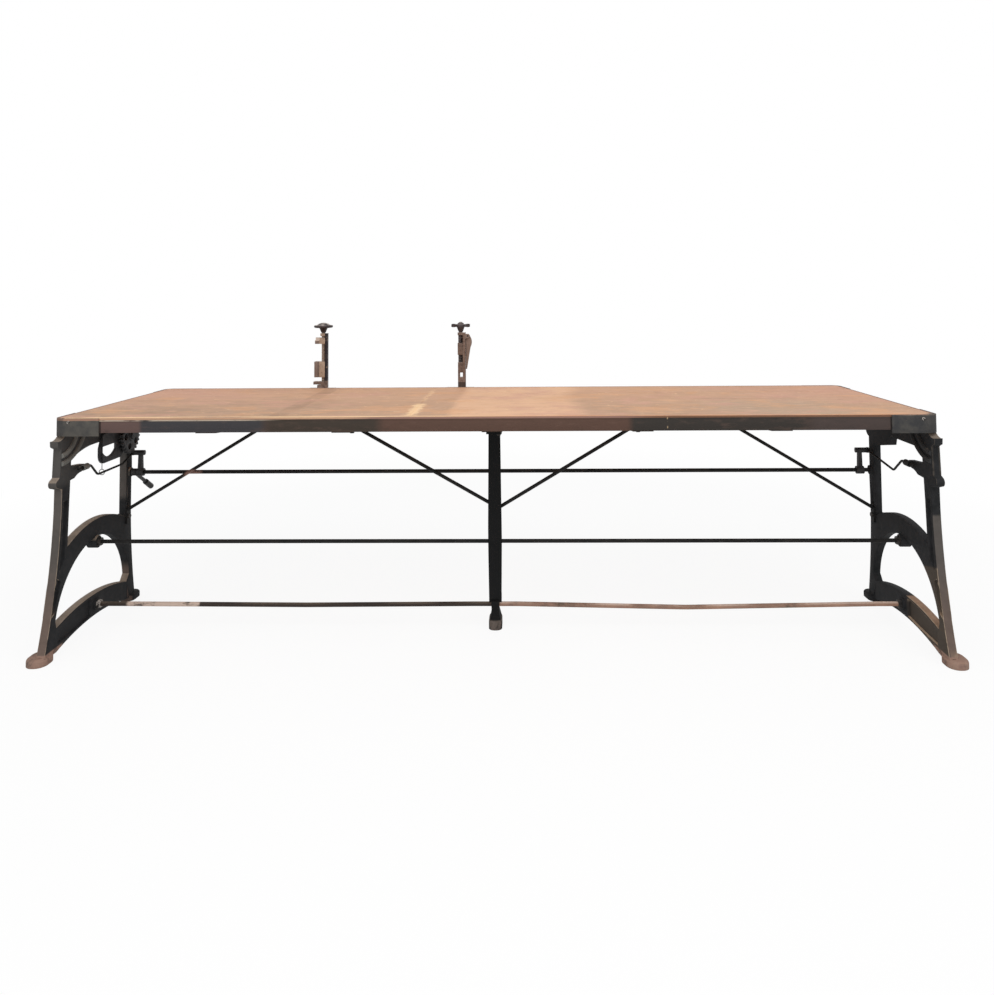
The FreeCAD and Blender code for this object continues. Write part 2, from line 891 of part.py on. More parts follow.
def brace_screws():
    screws = []
    for low_x, low_z, high_x, high_z, y, bolt_z in brace_places().values():
        out = 1 if high_x > low_x else -1
        x = high_x + out * brace_tab_length / 4
        screws.append(lag_screw(x, y, high_z - brace_tab))
    return screws


def rock_shaft():
    end = half_length - shaft_inset
    return bar_x((-end, end), shaft_y, shaft_z, shaft_radius)


def rock_lever(side):
    x = side * lever_x
    boss_x = (x - lever_boss_length / 2, x + lever_boss_length / 2)
    boss = bar_x(boss_x, shaft_y, shaft_z, lever_boss_radius)
    plate_x = (x - lever_plate / 2, x + lever_plate / 2)
    wide = lever_boss_radius * 0.8
    thin = head_radius * 0.7
    arm = side_plate(plate_x, (shaft_y - wide, shaft_z),
                     [(shaft_y - thin, head_z), (shaft_y + thin, head_z), (shaft_y + wide, shaft_z)])
    pin_start = side * (pull_x - pull_eye_width / 2)
    head = bar_x((pin_start - side * head_length, pin_start), shaft_y, head_z, head_radius)
    pin_end = side * (pull_x + pull_eye_width / 2)
    pin = bar_x((pin_start, pin_end), shaft_y, head_z, head_pin_radius)
    button = bar_x((pin_end, pin_end + side * 3), shaft_y, head_z, head_pin_radius + 2)
    body = fuse(boss, arm, head, pin, button)
    reach = (boss_x[0] - 1, boss_x[1] + 1)
    return body.cut(bar_x(reach, shaft_y, shaft_z, shaft_radius))


def pull_rod(side):
    # An eye on the lever's pin, a long run forwards, a dip, and a straight tail in the corbel's eye.
    x = side * pull_x
    eye_x = (x - pull_eye_width / 2 + 0.2, x + pull_eye_width / 2 - 0.2)
    points = [
        at(x, shaft_y - pull_eye_radius + 3, head_z - 1.5),
        at(x, left_pull_dip_y if side < 0 else right_pull_dip_y, pull_dip_z),
        at(x, corbel_tip(side) + pull_rise_gap, corbel_z),
        at(x, corbel_tip(side) - pull_tail_run, corbel_z),
    ]
    eye = bar_x(eye_x, shaft_y, head_z, pull_eye_radius)
    body = fuse(bent_bar(points, pull_radius, pull_bend), eye)
    reach = (x - pull_eye_width, x + pull_eye_width)
    return body.cut(bar_x(reach, shaft_y, head_z, head_pin_radius + running_fit))


def hand_lever_line(reach):
    slope = math.radians(hand_lever_slope)
    return at(hand_lever_x, shaft_y + reach * math.cos(slope), shaft_z - reach * math.sin(slope))


def hand_lever():
    boss_x = (hand_lever_x - hand_boss_length / 2, hand_lever_x + hand_boss_length / 2)
    boss = bar_x(boss_x, shaft_y, shaft_z, hand_boss_radius)
    arm = round_bar(hand_lever_line(shaft_radius), hand_lever_line(hand_lever_length), hand_lever_radius)
    reach = (boss_x[0] - 1, boss_x[1] + 1)
    return fuse(boss, arm).cut(bar_x(reach, shaft_y, shaft_z, shaft_radius))


def hand_grip():
    start = hand_lever_line(hand_lever_length - grip_length)
    end = hand_lever_line(hand_lever_length)
    sleeve = round_bar(start, end, grip_radius)
    sleeve = sleeve.makeFillet(grip_radius * 0.3, [sleeve.Edges[0], sleeve.Edges[2]])
    bore = round_bar(hand_lever_line(0), hand_lever_line(hand_lever_length + 20), hand_lever_radius)
    return sleeve.cut(bore)


def toothed_wheel():
    start = -(frame_inner - wheel_gap)
    end = start + wheel_width
    root = wheel_radius - tooth_depth
    corners = []
    for tooth in range(tooth_count):
        for share, radius in ((0.0, root), (0.3, wheel_radius), (0.6, wheel_radius), (0.75, root)):
            angle = 2 * math.pi * (tooth + share) / tooth_count
            corners.append(at(start, wheel_y + radius * math.cos(angle), wheel_z + radius * math.sin(angle)))
    rim = Part.Face(Part.makePolygon(corners + corners[:1])).extrude(Vector(wheel_width, 0, 0))
    hub = bar_x((start - hub_overhang, end + hub_overhang), wheel_y, wheel_z, hub_radius)
    body = fuse(rim, hub)
    window_ring = (root + hub_radius) / 2
    for spoke in range(5):
        angle = 2 * math.pi * (spoke + 0.5) / 5
        y = wheel_y + window_ring * math.cos(angle)
        z = wheel_z + window_ring * math.sin(angle)
        body = body.cut(bar_x((start - 1, end + 1), y, z, (root - hub_radius) * 0.3))
    bore = stud_radius + running_fit
    return body.cut(bar_x((start - hub_overhang - 1, end + hub_overhang + 1), wheel_y, wheel_z, bore))


def wheel_stud():
    end = -(frame_inner - wheel_gap) + wheel_width + hub_overhang + 0.5
    pin = bar_x((-half_length, end), wheel_y, wheel_z, stud_radius)
    head = bar_x((end, end + stud_head), wheel_y, wheel_z, stud_head_radius)
    collar_end = -(frame_inner - wheel_gap) - hub_overhang - 0.5
    collar = bar_x((-frame_inner, collar_end), wheel_y, wheel_z, stud_head_radius)
    return fuse(pin, head, collar)


def hook_strap():
    # A plate with a rounded eye, on the inner face of the left frame under its beam.
    span = (-frame_inner, hook_thickness - frame_inner)
    top = beam_under + hook_lap
    slant = hook_corner * (1 - math.sqrt(0.5))
    outline = [
        (hook_front + slant, hook_z + slant, hook_front, hook_z + hook_corner),
        (hook_front, beam_under - hook_lean),
        (hook_front + hook_lean, top),
        (hook_rear, top),
        (hook_rear, hook_z + hook_chamfer),
        (hook_rear - hook_chamfer, hook_z),
    ]
    plate = side_plate(span, (hook_front + hook_corner, hook_z), outline)
    eye_front = hook_front + hook_limb
    eye_rear = eye_front + hook_eye_length
    eye_low = hook_z + hook_limb
    eye_top = eye_low + hook_eye_height
    eye_side = eye_low + hook_eye_dip
    eye_foot = ((eye_front + eye_rear) / 2, eye_low, eye_front, eye_side)
    eye = [(eye_rear, eye_top), (eye_rear, eye_side), eye_foot]
    through = (span[0] - 1, span[1] + 1)
    plate = plate.cut(side_plate(through, (eye_front, eye_top), eye))
    return plate.cut(bar_x(through, wheel_y, wheel_z, stud_head_radius))


def hanger_wire():
    # The rod lies low in the loop, with room above for its rise as it moves.
    x = -pull_x
    share = (wire_y - left_pull_dip_y) / (shaft_y - left_pull_dip_y)
    rod_z = pull_dip_z + share * (head_z - pull_dip_z)
    loop_z = rod_z + wire_loop_rise
    ring = Part.makeTorus(wire_loop_radius, wire_radius, at(x, wire_y, loop_z), Vector(0, 1, 0))
    stem = bar_z(x, wire_y, (loop_z + wire_loop_radius, flange_under), wire_radius)
    return fuse(ring, stem)


def knob_profile(axis_x, profile):
    # Turns an outline of radius and height about an upright axis.
    face = loop(lambda radius, z: at(axis_x + radius, spindle_y, z), profile[0], profile[1:])
    return face.revolve(at(axis_x, spindle_y, 0), Vector(0, 0, 1), 360)


def dome_steps(radius, height):
    # A cap of a ball whose centre lies on the axis.
    top = knob_z + knob_thickness
    ball = (radius ** 2 + height ** 2) / (2 * height)
    shoulder = radius / 2
    rise = math.sqrt(ball ** 2 - shoulder ** 2) - (ball - height)
    return [(radius, top), (shoulder, top + rise, 0, top + height)]


def left_spindle():
    # The round knob is dished under its rim.
    hub_low = knob_z - knob_hub_height
    low = left_shelf_z + 1
    round_rim = knob_thickness / 2
    rim_centre = knob_radius - round_rim
    rim_slant = rim_centre + round_rim * math.sqrt(0.5)
    profile = [
        (0, low),
        (spindle_radius, low),
        (spindle_radius, hub_low),
        (knob_hub_radius, knob_z - 2),
        (rim_centre, knob_z),
        (rim_slant, knob_z + round_rim - (rim_slant - rim_centre), knob_radius, knob_z + round_rim),
        (rim_slant, knob_z + round_rim + (rim_slant - rim_centre), rim_centre, knob_z + knob_thickness),
    ] + dome_steps(cap_dome_radius, cap_dome_height)
    return knob_profile(left_post_x, profile)


def right_spindle():
    hub_low = knob_z - knob_hub_height
    low = right_body_z - 30
    profile = [
        (0, low),
        (spindle_radius, low),
        (spindle_radius, hub_low),
        (knob_hub_radius, knob_z),
        (knob_hub_radius, knob_z + knob_thickness),
    ] + dome_steps(wing_dome_radius, wing_dome_height)
    hub = knob_profile(right_post_x, profile)
    x = (right_post_x - wing_length, right_post_x + wing_length)
    y = (spindle_y - wing_width / 2, spindle_y + wing_width / 2)
    tip_low = knob_z + (knob_thickness - wing_tip) / 2
    tip_top = tip_low + wing_tip
    wings = rear_plate(y, (x[0], tip_low), [
        (x[0], tip_top),
        (right_post_x, knob_z + knob_thickness, x[1], tip_top),
        (x[1], tip_low),
        (right_post_x, knob_z, x[0], tip_low),
    ])
    upright = [edge for edge in wings.Edges if abs(edge.BoundBox.ZLength - wing_tip) < 0.01]
    wings = wings.makeFillet(wing_tip_round, upright)
    return fuse(hub, wings)


def post_plate(x):
    plate_x = (x - post_plate_width / 2, x + post_plate_width / 2)
    plate = block(plate_x, (rear_face, rear_face + post_base_depth), (under_top, top_height))
    for side in (-1, 1):
        hole_x = x + side * post_bolt_spacing / 2
        span = (rear_face - 1, rear_face + post_base_depth + 1)
        middle = top_height - plank_thickness / 2
        plate = plate.cut(bar_y(hole_x, span, middle, post_bolt_radius + hole_clearance))
    return plate


def post_head(x, bar_side):
    # A bearing head that holds the spindle under the knob.
    head_z = (post_head_z, post_head_z + post_head_height)
    collar = bar_z(x, spindle_y, head_z, spindle_radius + head_collar_wall)
    arm = block((x, x + bar_side), post_body_y(), head_z)
    return fuse(collar, arm)


def post_body_y():
    return (rear_face + 1, rear_face + 1 + post_body_depth)


def bored(body, x, z):
    return body.cut(bar_z(x, spindle_y, z, spindle_radius + running_fit))


def left_post_frame():
    x = left_post_x
    bar_start = spindle_radius + 1
    bar_end = bar_start + left_bar_width
    depth = post_body_y()
    bar = block((x + bar_start, x + bar_end), depth, (under_top, post_head_z + post_head_height))
    shelf_z = (left_shelf_z, left_shelf_z + left_shelf_height)
    shelf = block((x - left_shelf_reach, x + bar_end), depth, shelf_z)
    foot = block((x - left_foot_reach, x + bar_end), depth, (under_top, left_shelf_z - 3))
    tie = block((x - spindle_radius, x + bar_end), depth, (left_shelf_z - 3, left_shelf_z))
    head = post_head(x, bar_end)
    body = fuse(post_plate(x), bar, shelf, foot, tie, head)
    return bored(body, x, (left_shelf_z + 0.5, knob_z))


def carriage(x, reach, z, height):
    # A block bored for the screw, sliding beside the post's upright bar.
    right = spindle_radius + 1 - block_gap
    depth = (rear_face + 1, rear_face + 1 + block_depth)
    body = block((x - reach, x + right), depth, (z, z + height))
    return bored(body, x, (z - 1, z + height + 1))


def left_block():
    body = carriage(left_post_x, left_block_reach, left_block_z, left_block_height)
    groove_x = left_post_x - left_block_reach / 2
    groove = block((groove_x - 3, groove_x), (rear_face, rear_face + 5), (left_block_z - 1, knob_z))
    return body.cut(groove)


def left_stop():
    right = spindle_radius + 1
    z = (left_stop_z, left_stop_z + left_stop_height)
    x = (left_post_x - left_stop_reach, left_post_x + right)
    body = block(x, post_body_y(), z)
    notch_x = (x[0] - 1, left_post_x - spindle_radius - 5)
    notch = block(notch_x, (rear_face, spindle_y - 2), (z[0] + 17, z[1] + 1))
    body = body.cut(notch)
    return body.cut(bar_z(left_post_x, spindle_y, (z[0] - 1, z[1] + 1), spindle_radius + 1.5))


def right_post_frame():
    x = right_post_x
    bar_start = spindle_radius + 1
    bar_end = bar_start + right_bar_width
    depth = post_body_y()
    column = block((x - right_body_left, x + bar_end), depth, (under_top, right_body_z))
    bar = block((x + bar_start, x + bar_end), depth, (under_top, post_head_z + post_head_height))
    slot_x = (x - 4, x - 4 + right_slot_width)
    slot = block(slot_x, (depth[0] - 1, depth[1] + 1), (right_slot_z, right_slot_z + right_slot_height))
    column = column.cut(slot)
    pivot_x = bar_end + lever_pivot_out
    lug_y = (depth[0], depth[0] + lever_lug_depth)
    lug = bar_y(x + pivot_x, lug_y, lever_pivot_z, lever_pivot_out)
    lug_neck = block((x + bar_end - 1, x + pivot_x), lug_y,
                     (lever_pivot_z - lever_pivot_out, lever_pivot_z + lever_pivot_out))
    body = fuse(post_plate(x), column, bar, post_head(x, bar_end), lug, lug_neck)
    pin = bar_y(x + pivot_x, (lug_y[0] - 1, lug_y[1] + 1), lever_pivot_z, lever_pin_radius)
    return bored(body, x, (right_body_z - 30.5, knob_z)).cut(pin)


def lever_place():
    x = right_post_x + spindle_radius + 1 + right_bar_width + lever_pivot_out
    y = rear_face + 1 + lever_lug_depth + 0.5
    return x, y


def side_lever():
    # A curved plate that hangs from its pivot beside the post.
    x, y = lever_place()
    eye = lever_pivot_out - lever_eye_gap
    slant = eye * math.sqrt(0.5)
    low = lever_pivot_z - lever_length
    left = x - eye
    outline = [
        (x - slant, lever_pivot_z + slant, x, lever_pivot_z + eye),
        (left + lever_bulge, lever_pivot_z - lever_shoulder, left + lever_width, lever_pivot_z - lever_belly),
        (left + lever_foot_right, low),
        (left + lever_foot_left, low),
    ]
    body = rear_plate((y, y + lever_thickness), (left, lever_pivot_z), outline)
    return body.cut(bar_y(x, (y - 1, y + lever_thickness + 1), lever_pivot_z, lever_pin_radius + running_fit))


def lever_pin():
    x, y = lever_place()
    end = y + lever_thickness + 0.5
    pin = bar_y(x, (rear_face + 1, end), lever_pivot_z, lever_pin_radius)
    head = bar_y(x, (end, end + 3), lever_pivot_z, lever_pin_radius + 2.5)
    return fuse(pin, head)


def right_block():
    return carriage(right_post_x, right_block_reach, right_block_z, right_block_height)


def post_bolts():
    bolts = []
    z = top_height - plank_thickness / 2
    face = rear_face + post_base_depth
    for x in (left_post_x, right_post_x):
        for side in (-1, 1):
            bolt_x = x + side * post_bolt_spacing / 2
            head = bar_y(bolt_x, (face, face + post_bolt_head), z, post_bolt_head_radius)
            shank = bar_y(bolt_x, (face, face - post_base_depth - post_bolt_grip), z, post_bolt_radius)
            bolts.append(fuse(head, shank))
    return bolts


def drilled(piece, fasteners):
    # Cuts the fasteners' own shapes from a piece, so that each one sits in its hole.
    near = [item for item in fasteners if item.BoundBox.intersect(piece.BoundBox)]
    return piece.cut(Part.makeCompound(near)) if near else piece


def build():
    nodes = {}
    groups = {
        "cap_screws": cap_screws(),
        "batten_screws": batten_screws(),
        "frame_screws": frame_screws(),
        "leg_screws": plate_screws(),
        "brace_screws": brace_screws(),
        "post_bolts": post_bolts(),
    }
    fasteners = [item for group in groups.values() for item in group]
    frames = {-1: end_frame(-1), 1: end_frame(1)}
    timber = planks()
    timber.update(edge_strips())
    for side, side_name in ((-1, "left"), (1, "right")):
        # The caps' skirts are relieved where they pass over the frames' corners.
        timber["corner_cap_front_" + side_name] = corner_cap(side, True).cut(frames[side])
        timber["corner_cap_rear_" + side_name] = corner_cap(side, False).cut(frames[side])
    for name, x in batten_places().items():
        timber[name] = batten(x)
    for name, piece in timber.items():
        nodes[name] = drilled(piece, fasteners)
    nodes["left_frame"] = frames[-1]
    nodes["right_frame"] = frames[1]
    nodes["centre_leg"] = centre_leg()
    nodes["middle_tie_rod"] = middle_tie_rod()
    nodes["lower_tie_rod_left"] = lower_tie_rod(-1, lower_tie_sag / 3)
    nodes["lower_tie_rod_right"] = lower_tie_rod(1, lower_tie_sag)
    for name, place in brace_places().items():
        nodes[name] = brace(*place)
    nodes["rock_shaft"] = rock_shaft()
    nodes["rock_lever_left"] = rock_lever(-1)
    nodes["rock_lever_right"] = rock_lever(1)
    nodes["hand_lever"] = hand_lever()
    nodes["hand_grip"] = hand_grip()
    nodes["pull_rod_left"] = pull_rod(-1)
    nodes["pull_rod_right"] = pull_rod(1)
    nodes["toothed_wheel"] = toothed_wheel()
    nodes["wheel_stud"] = wheel_stud()
    nodes["hook_strap"] = hook_strap()
    nodes["hanger_wire"] = hanger_wire()
    nodes["left_post_frame"] = left_post_frame()
    nodes["left_post_spindle"] = left_spindle()
    nodes["left_post_block"] = left_block()
    nodes["left_post_stop"] = left_stop()
    nodes["right_post_frame"] = right_post_frame()
    nodes["right_post_spindle"] = right_spindle()
    nodes["right_post_block"] = right_block()
    nodes["right_post_lever"] = side_lever()
    nodes["right_post_pin"] = lever_pin()
    groups["tie_rod_nuts"] = tie_rod_nuts()
    groups["brace_bolts"] = brace_bolts()
    for name, group in groups.items():
        nodes[name] = Part.makeCompound(group)
    return nodes


os.makedirs("parts", exist_ok=True)
for node, shape in build().items():
    shape.exportStep("parts/" + node + ".step")
print("front edge at y = %.3f" % front_edge_y)
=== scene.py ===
import json
import math

import bmesh
import bpy
from mathutils import Matrix, Vector

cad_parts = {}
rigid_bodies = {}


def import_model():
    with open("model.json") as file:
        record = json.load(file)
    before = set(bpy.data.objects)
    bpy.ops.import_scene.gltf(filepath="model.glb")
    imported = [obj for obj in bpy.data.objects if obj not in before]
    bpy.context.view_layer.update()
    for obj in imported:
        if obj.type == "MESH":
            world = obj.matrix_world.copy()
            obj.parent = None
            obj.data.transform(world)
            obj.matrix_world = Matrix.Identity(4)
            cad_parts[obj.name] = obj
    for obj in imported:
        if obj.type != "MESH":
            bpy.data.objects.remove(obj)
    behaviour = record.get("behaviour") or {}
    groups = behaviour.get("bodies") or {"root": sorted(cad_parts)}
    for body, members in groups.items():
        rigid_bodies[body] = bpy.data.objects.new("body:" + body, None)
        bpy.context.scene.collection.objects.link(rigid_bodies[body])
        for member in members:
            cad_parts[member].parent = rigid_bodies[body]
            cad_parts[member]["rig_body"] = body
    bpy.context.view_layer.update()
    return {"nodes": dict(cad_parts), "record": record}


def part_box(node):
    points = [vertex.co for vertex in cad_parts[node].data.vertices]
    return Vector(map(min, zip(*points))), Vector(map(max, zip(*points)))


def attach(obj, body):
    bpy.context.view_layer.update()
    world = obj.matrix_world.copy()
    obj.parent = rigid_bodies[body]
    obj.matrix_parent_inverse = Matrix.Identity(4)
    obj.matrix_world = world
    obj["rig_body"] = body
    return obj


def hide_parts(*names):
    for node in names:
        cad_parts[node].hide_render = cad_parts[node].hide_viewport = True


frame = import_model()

nodes = frame["nodes"]
scene = bpy.context.scene
print("frame loaded:", len(nodes), "nodes")


# Shader and geometry graphs

class Wire:
    def __init__(self, graph, socket):
        self.graph, self.socket = graph, socket

    def math(self, operation, *values):
        inputs = dict(enumerate((self,) + values))
        return self.graph.add("ShaderNodeMath", {"operation": operation}, inputs)

    def turned(self, operation, value):
        return self.graph.add("ShaderNodeMath", {"operation": operation}, {0: value, 1: self})

    def __add__(self, other): return self.math("ADD", other)
    def __radd__(self, other): return self.math("ADD", other)
    def __sub__(self, other): return self.math("SUBTRACT", other)
    def __rsub__(self, other): return self.turned("SUBTRACT", other)
    def __mul__(self, other): return self.math("MULTIPLY", other)
    def __rmul__(self, other): return self.math("MULTIPLY", other)
    def __abs__(self): return self.math("ABSOLUTE")
    def most(self, other): return self.math("MAXIMUM", other)
    def sign(self): return self.math("SIGN")


class Graph:
    def __init__(self, tree):
        self.tree = tree

    def add(self, kind, settings=None, inputs=None, output=0):
        node = self.tree.nodes.new(kind)
        for key, value in (settings or {}).items():
            if key == "stops":
                ramp = node.color_ramp
                while len(ramp.elements) < len(value):
                    ramp.elements.new(0.5)
                for element, (place, colour) in zip(ramp.elements, value):
                    element.position = place
                    element.color = colour
            else:
                setattr(node, key, value)
        for key, value in (inputs or {}).items():
            socket = node.inputs[key]
            for wire in value if isinstance(value, list) else [value]:
                if isinstance(wire, Wire):
                    self.tree.links.new(wire.socket, socket)
                else:
                    socket.default_value = wire
        return Wire(self, node.outputs[output]) if node.outputs else None


class Finish(Graph):
    def __init__(self, name):
        self.material = bpy.data.materials.new(name)
        self.material.use_nodes = True
        self.material.node_tree.nodes.clear()
        super().__init__(self.material.node_tree)
        self.coords = self.add("ShaderNodeTexCoord", output="Object")

    def noise(self, scale, stretch=(1, 1, 1), shift=(0, 0, 0), detail=5.0, rough=0.55, warp=0.0):
        spot = self.add("ShaderNodeMapping", {}, {"Vector": self.coords, "Scale": stretch, "Location": shift})
        values = {"Vector": spot, "Scale": scale, "Detail": detail, "Roughness": rough, "Distortion": warp}
        return self.add("ShaderNodeTexNoise", {}, values)

    def along(self, axis):
        return self.add("ShaderNodeSeparateXYZ", {}, {0: self.coords}, axis)

    def facing(self, axis):
        normal = self.add("ShaderNodeNewGeometry", output="Normal")
        return self.add("ShaderNodeSeparateXYZ", {}, {0: normal}, axis)

    def fade(self, value, low, high):  # 0 below low, 1 above high, smooth between
        settings = {"interpolation_type": "SMOOTHSTEP", "clamp": True}
        return self.add("ShaderNodeMapRange", settings, {"Value": value, "From Min": low, "From Max": high})

    def near(self, value, middle, reach, soft):  # 1 within reach of the middle
        return 1 - self.fade(abs(value - middle), reach, reach + soft)

    def ramp(self, value, stops):
        return self.add("ShaderNodeValToRGB", {"stops": stops}, {0: value})

    def mix(self, factor, first, second, mode="MIX"):
        return self.add("ShaderNodeMix", {"data_type": "RGBA", "blend_type": mode},
                        {0: factor, 6: first, 7: second}, 2)

    def bump(self, height, distance, strength=1.0):
        return self.add("ShaderNodeBump", {}, {"Height": height, "Distance": distance, "Strength": strength})

    def close(self, colour, roughness, normal, metallic=0.0, gloss=0.3):
        values = {"Base Color": colour, "Roughness": roughness, "Metallic": metallic, "Normal": normal,
                  "Specular IOR Level": gloss}
        shader = self.add("ShaderNodeBsdfPrincipled", {}, values)
        self.add("ShaderNodeOutputMaterial", {}, {"Surface": shader})
        return self.material


def tone(red, green, blue):  # a screen colour as linear light
    parts = [part / 255 for part in (red, green, blue)]
    linear = [part / 12.92 if part <= 0.04045 else ((part + 0.055) / 1.055) ** 2.4 for part in parts]
    return (*linear, 1.0)


# Finishes

boards = {
    "base": tone(192, 154, 126), "rear": tone(213, 165, 131), "warm": tone(234, 187, 150), "dark": tone(152, 118, 95),
    "light": tone(230, 188, 154), "grime": tone(166, 136, 114), "grey": tone(184, 158, 134),
    "pink": tone(208, 157, 136), "orange": tone(222, 166, 122), "cream": tone(248, 210, 164),
    "iron": tone(76, 73, 69), "seamX": -0.283, "seamFrontY": -0.24, "seamRearY": 0.18, "warmX": (-0.16, 0.27),
    "frontY": -0.402, "greyX": 1.02, "stainX": -0.74, "corner": (1.504, -0.416),
}


def boardFinish():
    finish = Finish("worn boards")
    x, y = finish.along(0), finish.along(1)
    cloud = finish.noise(1.7, (0.8, 1.5, 1), (0, 4, 0), detail=6, rough=0.62)
    mottle = finish.noise(9.0, (0.6, 1.1, 1), (5, 2, 0), detail=8, rough=0.7, warp=0.4)
    blotch = finish.noise(24.0, (0.6, 0.9, 1), (1, 7, 0), detail=6, rough=0.7)
    tint = finish.noise(6.0, (0.7, 1.1, 1), (8, 3, 0), detail=6, rough=0.66)
    streak = finish.noise(1.0, (4, 52, 9), (3, 1, 0), detail=6, rough=0.62, warp=0.5)
    fibre = finish.noise(1.0, (7, 420, 40), detail=4, rough=0.65)
    wander = cloud * 0.16 - 0.08
    depth = finish.fade(y + wander * 2, -0.30, 0.35)  # 0 at the front row, 1 at the rear
    colour = finish.mix(depth * 0.75, boards["base"], boards["rear"])
    warm = finish.fade(x + wander * 0.5, boards["warmX"][0] - 0.01, boards["warmX"][0] + 0.03)
    warm = warm * (1 - finish.fade(x + wander, boards["warmX"][1] - 0.02, boards["warmX"][1] + 0.08))
    colour = finish.mix(warm * 0.85, colour, boards["warm"])
    grey = finish.near(x, boards["greyX"], 0.10, 0.25) * (1 - depth * 0.7)
    colour = finish.mix(grey * finish.fade(mottle, 0.3, 0.6) * 0.8, colour, boards["grey"])
    ends = finish.fade(abs(x), 0.75, 1.35)
    colour = finish.mix(ends * depth * 0.6, colour, boards["pink"])
    left = (1 - finish.fade(x, -0.75, -0.35)) * (1 - depth * 0.6)
    smear = finish.fade(mottle * 0.6 + cloud * 0.4, 0.43, 0.62)
    colour = finish.mix(left.most(0.3) * smear * 0.75, colour, boards["grime"])
    stain = finish.near(x + wander * 0.15, boards["stainX"], 0.024, 0.012) * finish.fade(mottle, 0.25, 0.6)
    colour = finish.mix(stain * 0.45, colour, boards["dark"])
    colour = finish.mix(finish.fade(tint, 0.50, 0.66) * 0.6, colour, boards["pink"])
    colour = finish.mix((1 - finish.fade(tint, 0.34, 0.48)) * 0.5, colour, boards["orange"])
    grain = streak * 0.3 + blotch * 0.45 + fibre * 0.25
    colour = finish.mix(finish.fade(grain, 0.50, 0.68) * 0.6, colour, boards["light"])
    colour = finish.mix((1 - finish.fade(grain, 0.32, 0.48)) * 0.55, colour, boards["dark"])
    ragged = finish.noise(30.0, (0.8, 1.0, 1), detail=7, rough=0.75) * 0.10
    off = abs(x - boards["seamX"]) + ragged
    seam = (1 - finish.fade(off, 0.054, 0.080)) * finish.near(y, boards["seamFrontY"], 0.12, 0.06)
    seam = seam * finish.fade(blotch, 0.2, 0.45)
    faint = (1 - finish.fade(off, 0.042, 0.066)) * finish.near(y, boards["seamRearY"], 0.14, 0.10)
    colour = finish.mix((seam * 0.95).most(faint * 0.6), colour, boards["cream"])
    long = finish.fade(finish.noise(3.0, (1, 0, 0), (5, 0, 0)), 0.35, 0.5)
    arris = finish.near(y, boards["frontY"], 0.010, 0.006) * long
    crest = finish.mix(finish.fade(x, -0.35, 0.3), boards["cream"], boards["orange"])
    colour = finish.mix(arris * (0.9 - 0.45 * finish.fade(x, -0.4, 0.2)), colour, crest)
    speck = finish.fade(finish.noise(62.0, (0.6, 1, 1), (9, 5, 1), detail=3), 0.66, 0.73)
    colour = finish.mix(speck * 0.55, colour, boards["cream"])
    inset = boards["corner"][0] - x + (y - boards["corner"][1])  # from the front right corner
    colour = finish.mix((1 - finish.fade(inset + ragged * 0.2, 0.055, 0.075)) * 0.85, colour, boards["iron"])
    height = fibre * 0.5 + blotch * 0.5
    return finish.close(colour, 0.55 + 0.25 * cloud, finish.bump(height, 0.0006, 0.5), gloss=0.2)


battens = {"dark": tone(30, 25, 22), "light": tone(64, 52, 44)}


def battenFinish():
    finish = Finish("dark batten timber")
    grain = finish.noise(1.0, (140, 6, 140), detail=5, rough=0.6)
    colour = finish.ramp(grain, [(0.3, battens["dark"]), (0.7, battens["light"])])
    return finish.close(colour, 0.8, finish.bump(grain, 0.0006, 0.6), gloss=0.15)


edge = {
    "brown": tone(86, 65, 56), "rosy": tone(92, 74, 70), "plum": tone(72, 62, 59), "dark": tone(52, 49, 46),
    "blue": tone(57, 57, 60), "olive": tone(58, 52, 46), "worn": tone(112, 88, 78), "pale": tone(238, 205, 160),
    "orange": tone(206, 148, 108), "tan": tone(190, 150, 122), "mauve": tone(148, 114, 102),
    "umber": tone(122, 88, 68), "line": tone(192, 176, 156), "gap_shadow": tone(26, 24, 22), "topZ": 0.797,
    "blueX": (-1.21, -0.80), "oliveX": -0.40, "darkX": (0.46, 1.03), "jointX": 0.594, "frontY": -0.39,
}


